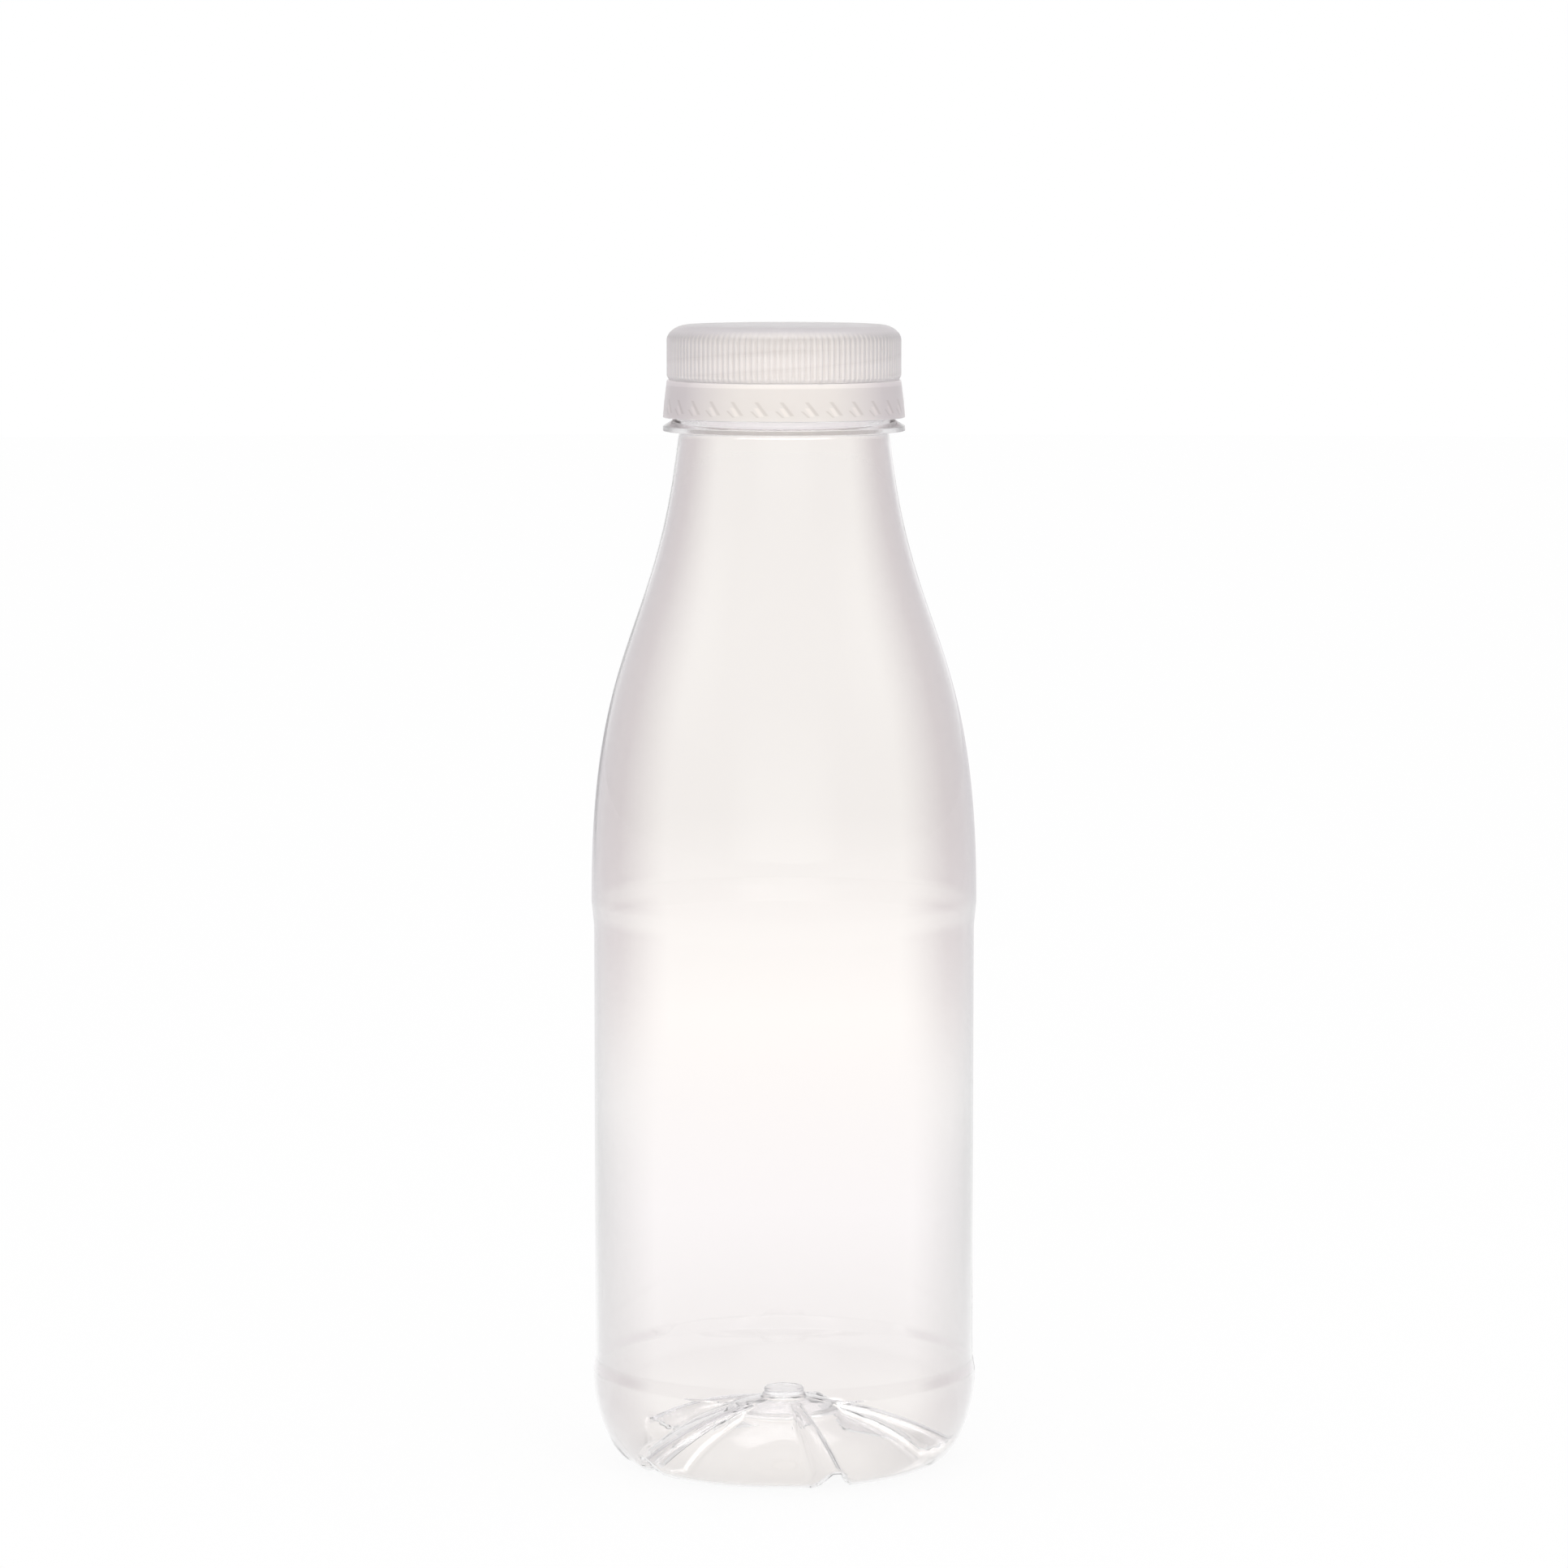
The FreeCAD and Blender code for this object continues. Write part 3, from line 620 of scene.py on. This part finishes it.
def ribHeight(r, angle, wall):  # the ribs' surface over a point of the base
    pitch = fullTurn / ribSizes["count"]
    off = angle - round(angle / pitch) * pitch
    along = r * math.cos(off)
    across = max(abs(r * math.sin(off)) - ribSizes["crest"], 0.0)
    arc = ribSizes["arc"]
    crest = ribSizes["crown"] - arc + math.sqrt((arc + wall) ** 2 - along ** 2)
    flank = ribSizes["flank"]
    tip = ribSizes["tip"] + wall * (1 / math.sin(flank) - 1) * math.tan(flank)
    return crest - (math.sqrt(across ** 2 + tip ** 2) - tip) / math.tan(flank)


def baseHeight(r, z, angle, wall):  # crisp lines round the hub, softer ones at the foot
    if r < ribSizes["clearHub"]:
        return z
    sharp, soft = ribSizes["blend"]
    blend = sharp + (soft - sharp) * softStep(*ribSizes["blendRange"], r)
    return softMax(z, ribHeight(r, angle, wall), blend * (1 - wall / 2))


def threadRelief(z, angle):  # how far the neck's thread stands out at a point
    t = threadSizes
    best = 0.0
    for start in range(t["starts"]):
        turned = (angle - start * fullTurn / t["starts"]) % fullTurn
        share = turned / fullTurn
        if share > t["turn"]:
            continue
        off = abs(z - t["neckHeight"] - share * t["lead"])
        half = t["rootWidth"] / 2
        ends = softStep(0, t["fade"], share) * softStep(0, t["fade"], t["turn"] - share)
        best = max(best, ends * (1 - softStep(t["crestWidth"] / 2, half, off)))
    return best * t["depth"]


def baseAndSide(wall):  # from the gate to the neck, a wall's thickness inside the outside
    b = bottleSizes
    body = bumperRadius - b["bodyInset"] - wall
    bumper = bumperRadius - wall
    foot = bumperRadius - b["heelRun"]
    slope = math.tan(math.radians(b["neckSlope"]))
    neckLow = b["finish"] + b["neckStep"] + (b["ringLow"] - b["neckLow"]) * slope - wall
    pull = wall * 4 / 3 * (math.sqrt(2) - 1)  # keeps a curve's offset even round a quarter turn
    top = b["domeTop"] + wall * 2
    gate = top + b["gateRise"] + (b["gateWall"] - wall * 2 if wall else 0)
    hub = b["gateRadius"] + b["gateDraft"]
    rim = foot - b["footWidth"]

    def dome(r):  # an arc through the hub and the foot, with a low step round the hub
        middle = Vector(((hub + rim) / 2, b["domeTop"] / 2))
        chord = Vector((rim - hub, -b["domeTop"]))
        centre = middle + Vector((chord.y, -chord.x)).normalized() * math.sqrt(
            b["domeRadius"] ** 2 - (chord.length / 2) ** 2)
        z = centre.y + math.sqrt((b["domeRadius"] + wall) ** 2 - (r - centre.x) ** 2)
        near = b["stepRadius"]
        step = softStep(near - b["stepHalf"], near + b["stepHalf"], r)
        return z - b["domeStep"] * step * (1 - softStep(near + 1, rim - 2, r))

    path = roundedPath([
        (0, gate),
        (b["gateRadius"], gate, 0.35),
        (hub, dome(hub), 0.45),
        (hub + b["gateSkirt"], dome(hub + b["gateSkirt"])),
    ])
    rows = b["domeRows"]
    for row in range(1, rows):
        r = hub + b["gateSkirt"] + (rim - hub - b["gateSkirt"]) * row / rows
        path.append((r, dome(r)))
    path += dense([(rim, wall), (foot, wall)], 0.5)
    path += bend((foot, wall), (foot + b["heelRunPull"] - pull, wall),
                 (bumper, b["heelTop"] - b["heelRisePull"] + pull), (bumper, b["heelTop"]), b["heelRows"])
    baseRows = len(path)
    side = roundedPath([
        (bumper, b["heelTop"]),
        (bumper, b["bumperTop"], 2.0),
        (body, b["labelLow"], 2.5),
        (body, b["labelHigh"], 5.0),
        (bumper, b["shoulderLow"], 4.0),
        (bumper, b["shoulderLow"] + 4.0),
    ])[1:-1]
    path += dense([path[-1]] + side, 8.0)[1:]
    shoulder = bend((bumper, b["shoulderLow"]), (bumper, b["shoulderLow"] + b["lowPull"]),
                    (neckLow + b["highPull"] * slope, b["neckLow"] - b["highPull"]),
                    (neckLow, b["neckLow"]), b["shoulderRows"])
    path += [spot for spot in shoulder if spot[1] > path[-1][1] + 0.5]
    return path, baseRows


def bottlePiece():
    b = bottleSizes
    outside, baseRows = baseAndSide(0.0)
    inside, innerBaseRows = baseAndSide(b["wall"])
    finish = b["finish"]
    bore = finish - b["finishWall"]
    neck = roundedPath([
        outside[-1],
        (finish + b["neckStep"], b["ringLow"], 0.12),
        (finish + b["ringReach"], b["ringLow"], 0.10),
        (finish + b["ringReach"], b["ringLow"] + b["ringEdge"], 0.15),
        (finish + b["ringRootReach"], b["ringHigh"], 0.5),
        (finish, b["ringHigh"], 0.3),
        (finish, b["beadLow"], 0.3),
        (finish + b["beadReach"], b["beadLow"], 0.25),
        (finish + b["beadReach"], b["beadLow"] + 0.5, 0.3),
        (finish, b["beadLow"] + 2.1, 0.5),
        (finish, mouthHeight, 0.4),
        (bore, mouthHeight, 0.4),
        (bore, b["boreHigh"], 3.0),
        (bore + b["boreRelief"], b["beadLow"], 2.0),
        (finish - b["neckWall"], b["ringHigh"] + 0.4, 1.5),
        (finish + b["neckStep"] - b["neckWall"], b["ringLow"] + 0.2, 2.0),
        inside[-1],
    ], 4)
    threadLow = b["beadLow"] + 2.3
    neckRows = dense(neck, 3.0)[1:-1]
    threaded = []
    for spot in neckRows:
        last = threaded[-1] if threaded else spot
        if abs(spot[0] - finish) < 0.01 and last[1] >= threadLow and spot[1] - last[1] > b["threadRow"]:
            threaded += dense([last, spot], b["threadRow"])[1:]  # close rows where the thread stands out
        else:
            threaded.append(spot)
    path = outside + threaded + inside[::-1]
    outerEnd = len(outside)
    innerStart = len(path) - innerBaseRows
    wallEdge = finish - 0.01

    def place(r, z, angle, row):
        if row < baseRows:
            z = baseHeight(r, z, angle, 0.0)
        elif row >= innerStart:
            z = baseHeight(r, z, angle, b["wall"])
        elif row > outerEnd and threadLow < z < mouthHeight - 0.4 and r > wallEdge:
            r += threadRelief(z, angle)
        return polar(r, z, angle)

    mesh = latheMesh("bottleGlaze", path, b["columns"], place)
    print("bottle", len(path), "rows,", len(mesh.polygons), "faces")
    return mesh


bottleMesh = bottlePiece()
bottleMesh.materials.append(bottlePlastic)
bottle = addObject("clearBottle", bottleMesh)
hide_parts("bottle")
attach(bottle, "root")


capSizes = {  # mm
    "grips": 120, "gripDepth": 0.14, "gripTop": 1.0, "gripFade": 1.8, "gripLow": 0.6,
    "gripWave": (0.15, 0.75),  # how sharply a grip rises from the groove beside it
    "cornerIn": 3.6, "cornerDown": 2.6, "cornerPull": 0.45, "tuck": 0.3, "tuckRise": 0.8,
    "columns": 12, "weld": 0.002,
}

capLow, capHigh = (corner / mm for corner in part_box("cap"))
gripRadius = capHigh.x
capRadius = gripRadius - capSizes["gripDepth"]
capInner = bottleSizes["finish"] + threadSizes["depth"] + threadSizes["clearance"]
skirtHeight = capLow.z
capTop = capHigh.z


def paintedThreadShade(tree, place, color):  # painted shade where the inner thread shows faintly through the skirt
    t = threadSizes
    pitch = t["lead"] / t["starts"]
    above = mathNode(tree, "SUBTRACT", place.outputs["Height"], t["capHeight"])
    turned = mathNode(tree, "MULTIPLY", place.outputs["Turn"], t["starts"])
    threads = mathNode(tree, "SUBTRACT", mathNode(tree, "DIVIDE", above, pitch), turned)
    line = greyRamp(tree, mathNode(tree, "FRACT", threads), milkyLook["threadLine"])
    spread = milkyLook["threadSpread"]
    inside = between(tree, above, -spread, t["lead"] * t["turn"] + spread)
    return mixColor(tree, mathNode(tree, "MULTIPLY", line, inside), color, milkyLook["threadShade"])


capPlastic = milkyPlastic("milkyCapPlastic", milkyLook["cap"], paintedThreadShade)


def capPiece():
    c = capSizes
    path = roundedPath([
        (0, mouthHeight),
        (capInner, mouthHeight, 0.4),
        (capInner, skirtHeight, 0.15),
        (capRadius - c["tuck"], skirtHeight, 0.10),
        (capRadius, skirtHeight + c["tuckRise"], 0.8),
        (capRadius, capTop - c["cornerDown"]),
    ], 5)
    inward, down = c["cornerIn"] * c["cornerPull"], c["cornerDown"] * c["cornerPull"]
    path += bend(path[-1], (capRadius, capTop - down), (capRadius - inward, capTop),
                 (capRadius - c["cornerIn"], capTop), 10)
    path = dense(path + [(0, capTop)], 2.2)
    capOuterRow = next(row for row, spot in enumerate(path) if spot[0] > capInner + 0.3)

    def place(r, z, angle, row):
        if r > capInner - 0.5 and skirtHeight + 0.1 < z < capTop - 0.1 and row > capOuterRow:
            rise = softStep(skirtHeight + 0.1, skirtHeight + c["gripLow"], z)
            fade = 1 - softStep(capTop - c["gripTop"] - c["gripFade"], capTop - c["gripTop"] + 0.6, z)
            ridge = softStep(*c["gripWave"], 0.5 + 0.5 * math.cos(angle * c["grips"]))
            r += c["gripDepth"] * ridge * rise * fade
        return polar(r, z, angle)

    sector = latheMesh("capSector", path, c["columns"], place, arc=fullTurn / c["grips"])
    shell = growMesh("capShell", sector, ringOfSectors, {
        "Count": c["grips"],
        "First Angle": 0.0,
        "Weld Distance": c["weld"] * mm,
        "Finish": capPlastic,
    })
    t = threadSizes
    thread = growMesh("capThread", bpy.data.meshes.new("threadSeed"), threadTree(), {
        "Starts": t["starts"],
        "Lead": t["lead"] * mm,
        "Turns": t["turn"],
        "Root Radius": (capInner - t["depth"] / 2 + t["bite"]) * mm,
        "Depth": t["depth"] * mm,
        "Root Width": t["rootWidth"] * mm,
        "Crest Width": t["crestWidth"] * mm,
        "Height": t["capHeight"] * mm,
        "Resolution": t["resolution"],
        "Finish": capPlastic,
    })
    print("cap", len(shell.polygons), "faces, thread", len(thread.polygons))
    return joined("screwCap", [shell, thread], capPlastic)


cap = capPiece()
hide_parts("cap")
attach(cap, "root")


bandSizes = {  # mm
    "waistRise": 2.9, "waistDraft": 0.25, "topDraft": 0.7, "wall": 0.75,
    "lip": (19.75, 20.55), "slit": 0.05,  # a low lip behind the slit
    "flaps": 30, "flapLow": 0.3, "flapRise": 2.45, "flapReach": 1.05, "flapGauge": 0.35, "flapSlit": 0.75,
    "flapLean": 0.9, "flapFold": 0.8, "flapBite": 0.2,
    "markRange": (0.75, 2.7),  # where the flaps' painted shade and highlight start above the foot, and their rise
    "bridges": 10, "bridgeWidth": 0.8, "bridgeDepth": 0.4, "bridgeBite": 0.1,
    "columns": 12, "weld": 0.002,
}

bandLow, bandHigh = (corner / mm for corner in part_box("tamper_band"))
bandRadius = bandHigh.x
bandBottom = bandLow.z
bandTop = skirtHeight - bandSizes["slit"]


def paintedFlapShadeAndGleam(tree, place, color):  # painted shade and highlights where the folded flaps show through the band as small ticks
    s = bandSizes
    across = mathNode(tree, "FRACT", mathNode(tree, "MULTIPLY", place.outputs["Turn"], s["flaps"]))
    low, rise = s["markRange"]
    above = mathNode(tree, "SUBTRACT", place.outputs["Height"], bandBottom + low)
    up = mathNode(tree, "DIVIDE", above, rise)
    strokes = ("flapDark", "flapFoot", "flapGleam")
    dark, foot, light = (stroke(tree, across, up, *milkyLook[mark]) for mark in strokes)
    shaded = mixColor(tree, mathNode(tree, "MAXIMUM", dark, foot), color, milkyLook["flapShade"])
    return mixColor(tree, light, shaded, milkyLook["flapLight"])


bandPlastic = milkyPlastic("milkyBandPlastic", milkyLook["band"], paintedFlapShadeAndGleam)


def flapMesh():  # one folded flap: a leaning plate that grows from the band's foot
    s = bandSizes
    inner = bandRadius - s["wall"]
    low = bandBottom + s["flapLow"]
    high = low + s["flapRise"]
    tip = inner - s["flapReach"]
    width = tip * fullTurn / s["flaps"] - s["flapSlit"]
    root = inner + s["flapBite"]
    section = [(root, low), (root, low + s["flapFold"]), (tip + s["flapGauge"], high), (tip, high),
               (inner - s["flapGauge"], low)]
    verts = []
    for side in (-0.5, 0.5):
        for r, z in section:
            lean = s["flapLean"] * (z - low) / s["flapRise"]
            verts.append(Vector((r, side * width - lean, z)) * mm)
    count = len(section)
    faces = [list(range(count)), list(range(2 * count - 1, count - 1, -1))]
    for number in range(count):
        after = (number + 1) % count
        faces.append([number + count, after + count, after, number])
    mesh = bpy.data.meshes.new("bandFlap")
    mesh.from_pydata([tuple(v) for v in verts], [], faces)
    mesh.update()
    return mesh


def bridgeMesh():  # one of the thin bridges that snap when the cap is first turned
    s = bandSizes
    outer = bandRadius - s["topDraft"] - (s["wall"] - s["bridgeDepth"]) / 2
    inner = outer - s["bridgeDepth"]
    half = s["bridgeWidth"] / 2
    low, high = bandTop - s["bridgeBite"], skirtHeight
    outline = ((inner, -half), (outer, -half), (outer, half), (inner, half))
    corners = [(x, y, z) for z in (low, high) for x, y in outline]
    mesh = bpy.data.meshes.new("bandBridge")
    mesh.from_pydata([tuple(Vector(c) * mm) for c in corners], [],
                     [(0, 3, 2, 1), (4, 5, 6, 7), (0, 1, 5, 4), (1, 2, 6, 5), (2, 3, 7, 6), (3, 0, 4, 7)])
    mesh.update()
    return mesh


def bandPiece():
    s = bandSizes
    waist = bandBottom + s["waistRise"]
    path = dense(roundedPath([
        (bandRadius - 0.4, bandBottom),
        (bandRadius, bandBottom, 0.2),
        (bandRadius - s["waistDraft"], waist, 20.0),
        (bandRadius - s["topDraft"], bandTop, 0.15),
        (s["lip"][1], bandTop, 0.1),
        (s["lip"][1], skirtHeight, 0.05),
        (s["lip"][0], skirtHeight, 0.05),
        (s["lip"][0], bandTop - 0.4, 0.3),
        (bandRadius - s["waistDraft"] - s["wall"], waist, 20.0),
        (bandRadius - s["wall"], bandBottom, 0.15),
        (bandRadius - 0.4, bandBottom),
    ], 6)[:-1], 0.9)

    def place(r, z, angle, row):
        return polar(r, z, angle)

    sector = latheMesh("bandSector", path, s["columns"], place, loop=True, arc=fullTurn / s["flaps"])
    pieces = []
    for name, mesh, count, weld in (
        ("bandShell", sector, s["flaps"], s["weld"] * mm),
        ("bandFlaps", flapMesh(), s["flaps"], 0.0),
        ("bandBridges", bridgeMesh(), s["bridges"], 0.0),
    ):
        pieces.append(growMesh(name, mesh, ringOfSectors, {
            "Count": count, "First Angle": 0.0, "Weld Distance": weld, "Finish": bandPlastic}))
    print("band, flaps and bridges", [len(piece.polygons) for piece in pieces], "faces")
    return joined("tamperBand", pieces, bandPlastic)


band = bandPiece()
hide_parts("tamper_band")
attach(band, "root")


studioLook = {
    "floorRadius": 4.0,
    "glow": 1.1,  # strength of everything that the studio sends, so that colours stay below 1
    "white": (0.91, 0.91, 0.91, 1),
    "ambient": (0.87, 0.865, 0.87, 1),
    "side": (0.64, 0.625, 0.64, 1),  # what the plastic mirrors beside the white backdrop
    "far": (0.855, 0.825, 0.79, 1),
    "windowCos": (0.80, 0.995),  # how the white backdrop fades sideways, as cosines
    "windowTop": (0.50, 0.05),
    "panelCos": (0.72, 0.98),  # two tall soft boxes, one to each side
    "panelRise": (0.15, 0.50, 0.70),  # where they start, are full and end, as sines
    "boxRise": (0.70, 0.76, 0.92, 0.95),  # the bright soft box above and in front, as sines
    "boxAhead": (0.10, 0.25),
    "boxGlow": 7.0,
    "around": (0.60, 0.85),  # the sky turns from side to white here, as sines
    "shadowShare": 0.07,
    "paint": 0.92,
    "floorSpan": 2.0,  # metres that the floor's tones are spread over
    "mirrored": [  # floor distance in metres and its colour in reflections
        (0.10, (0.92, 0.92, 0.92, 1)),
        (0.35, (0.74, 0.74, 0.74, 1)),
        (1.00, (0.64, 0.625, 0.64, 1)),
    ],
    "through": [  # floor distance in metres and its colour through the bottle
        (0.03, (0.94, 0.91, 0.88, 1)),
        (0.10, (0.815, 0.785, 0.775, 1)),
        (0.25, (0.915, 0.885, 0.885, 1)),
        (0.55, (0.99, 0.955, 0.92, 1)),
        (0.75, (0.94, 0.905, 0.87, 1)),
        (1.05, (0.855, 0.825, 0.79, 1)),
    ],
}


def rayMasks(tree):  # camera, diffuse and reflected rays
    path = addNode(tree, "ShaderNodeLightPath")
    mirrored = addNode(tree, "ShaderNodeMath", operation="GREATER_THAN")
    mirrored.inputs[1].default_value = 0.5
    tree.links.new(path.outputs["Glossy Depth"], mirrored.inputs[0])
    return path.outputs["Is Camera Ray"], path.outputs["Is Diffuse Ray"], mirrored.outputs[0]


def studioWorld():
    look = studioLook
    world = bpy.data.worlds.new("studioWorld")
    bpy.context.scene.world = world
    world.use_nodes = True
    tree = world.node_tree
    tree.nodes.clear()
    camera, diffuse, mirrored = rayMasks(tree)
    spots = addNode(tree, "ShaderNodeTexCoord")
    parts = addNode(tree, "ShaderNodeSeparateXYZ")
    tree.links.new(spots.outputs["Generated"], parts.inputs[0])
    flat = addNode(tree, "ShaderNodeVectorMath", operation="MULTIPLY")
    flat.inputs[1].default_value = (1, 1, 0)
    tree.links.new(spots.outputs["Generated"], flat.inputs[0])
    heading = addNode(tree, "ShaderNodeVectorMath", operation="NORMALIZE")
    tree.links.new(flat.outputs[0], heading.inputs[0])
    headingParts = addNode(tree, "ShaderNodeSeparateXYZ")
    tree.links.new(heading.outputs[0], headingParts.inputs[0])
    depth = addNode(tree, "ShaderNodeMath", operation="ABSOLUTE")
    tree.links.new(headingParts.outputs["Y"], depth.inputs[0])
    window = addNode(tree, "ShaderNodeMapRange", interpolation_type="SMOOTHSTEP")
    window.inputs["From Min"].default_value, window.inputs["From Max"].default_value = look["windowCos"]
    tree.links.new(depth.outputs[0], window.inputs["Value"])
    lowSky = addNode(tree, "ShaderNodeMapRange", interpolation_type="SMOOTHSTEP")
    lowSky.inputs["From Min"].default_value, lowSky.inputs["From Max"].default_value = look["windowTop"]
    tree.links.new(parts.outputs["Z"], lowSky.inputs["Value"])
    backdrop = mathNode(tree, "MULTIPLY", window.outputs[0], lowSky.outputs[0])
    aside = mathNode(tree, "ABSOLUTE", headingParts.outputs["X"])
    panelWide = greyRamp(tree, aside, zip(look["panelCos"], (0, 1)))
    panelTall = greyRamp(tree, parts.outputs["Z"], zip(look["panelRise"], (0, 1, 0)))
    panel = mathNode(tree, "MULTIPLY", panelWide, panelTall)
    bright = mathNode(tree, "MAXIMUM", backdrop, panel)
    around = colorRamp(tree, parts.outputs["Z"], list(zip(look["around"], (look["side"], look["white"]))))
    reflected = mixColor(tree, bright, around, look["white"])
    seen = mixColor(tree, mirrored, look["far"], reflected)
    lit = mixColor(tree, diffuse, seen, look["ambient"])
    shown = mixColor(tree, camera, lit, look["white"])
    light = addNode(tree, "ShaderNodeBackground")
    boxTall = greyRamp(tree, parts.outputs["Z"], zip(look["boxRise"], (0, 1, 1, 0)))
    ahead = mathNode(tree, "MULTIPLY", parts.outputs["Y"], -1)
    boxDeep = greyRamp(tree, ahead, zip(look["boxAhead"], (0, 1)))
    box = mathNode(tree, "MULTIPLY", boxTall, boxDeep)
    extra = mathNode(tree, "MULTIPLY", mathNode(tree, "MULTIPLY", box, mirrored), look["boxGlow"])
    tree.links.new(mathNode(tree, "ADD", extra, look["glow"]), light.inputs["Strength"])
    tree.links.new(shown, light.inputs["Color"])
    out = addNode(tree, "ShaderNodeOutputWorld")
    tree.links.new(light.outputs[0], out.inputs["Surface"])


def floorMaterial():
    look = studioLook
    material = bpy.data.materials.new("paleFloor")
    material.use_nodes = True
    tree = material.node_tree
    tree.nodes.clear()
    camera, diffuse, mirrored = rayMasks(tree)
    spots = addNode(tree, "ShaderNodeTexCoord")
    away = addNode(tree, "ShaderNodeVectorMath", operation="LENGTH")
    tree.links.new(spots.outputs["Object"], away.inputs[0])
    span = look["floorSpan"]
    share = addNode(tree, "ShaderNodeMath", operation="DIVIDE")
    share.inputs[1].default_value = span
    tree.links.new(away.outputs["Value"], share.inputs[0])
    through = colorRamp(tree, share.outputs[0], [(reach / span, color) for reach, color in look["through"]])
    reflected = colorRamp(tree, share.outputs[0],
                          [(reach / span, color) for reach, color in look["mirrored"]])
    seen = mixColor(tree, mirrored, through, reflected)
    shown = mixColor(tree, camera, seen, look["white"])
    glow = addNode(tree, "ShaderNodeEmission")
    glow.inputs["Strength"].default_value = look["glow"]
    tree.links.new(shown, glow.inputs["Color"])
    paint = addNode(tree, "ShaderNodeBsdfDiffuse")
    paint.inputs["Color"].default_value = grey(look["paint"])
    shaded = addNode(tree, "ShaderNodeMixShader")
    shaded.inputs[0].default_value = look["shadowShare"]
    tree.links.new(glow.outputs[0], shaded.inputs[1])
    tree.links.new(paint.outputs[0], shaded.inputs[2])
    either = addNode(tree, "ShaderNodeMixShader")
    tree.links.new(diffuse, either.inputs[0])
    tree.links.new(shaded.outputs[0], either.inputs[1])
    tree.links.new(paint.outputs[0], either.inputs[2])
    out = addNode(tree, "ShaderNodeOutputMaterial")
    tree.links.new(either.outputs[0], out.inputs["Surface"])
    return material


def studioFloor():  # a disc with closer rows under the bottle
    reach = studioLook["floorRadius"]
    path = [(0, 0)] + [(reach / mm * share, 0) for share in (0.02, 0.1, 0.4, 1)]
    mesh = latheMesh("studioFloor", path, 48, lambda r, z, angle, row: polar(r, z, angle))
    mesh.flip_normals()
    mesh.materials.append(floorMaterial())
    floor = addObject("studioFloor", mesh)


lampAim = (0, 0, 0.1)
lampLook = [  # name, place, size, watts
    ("keyLamp", (-0.5, -1.5, 0.3), 0.8, 10.0),
    ("fillLamp", (0.8, -1.3, 0.3), 0.8, 6.5),
]


def studioLamps():
    for name, place, size, power in lampLook:
        light = bpy.data.lights.new(name, "AREA")
        light.shape = "DISK"
        light.size = size
        light.energy = power
        lamp = bpy.data.objects.new(name, light)
        lamp.location = place
        lamp.rotation_mode = "QUATERNION"
        lamp.rotation_quaternion = (Vector(lampAim) - Vector(place)).to_track_quat("-Z", "Y")
        lamp.visible_glossy = False
        lamp.visible_transmission = False
        bpy.context.scene.collection.objects.link(lamp)


cameraLook = {"back": 1.050, "height": 0.23255, "down": 6.02, "lens": 136.0}


def studioCamera():
    data = bpy.data.cameras.new("studioCamera")
    data.sensor_width = 36
    data.lens = cameraLook["lens"]
    data.clip_end = 20
    camera = bpy.data.objects.new("studioCamera", data)
    camera.location = (0, -cameraLook["back"], cameraLook["height"])
    camera.rotation_euler = (math.radians(90 - cameraLook["down"]), 0, 0)
    bpy.context.scene.collection.objects.link(camera)
    bpy.context.scene.camera = camera


studioWorld()
studioFloor()
studioLamps()
studioCamera()
scene = bpy.context.scene
scene.view_settings.view_transform = "Standard"
scene.cycles.max_bounces = 48  # light crosses many thin walls
scene.cycles.transmission_bounces = 40
scene.cycles.glossy_bounces = 24
scene.cycles.transparent_max_bounces = 16
print("studio made")
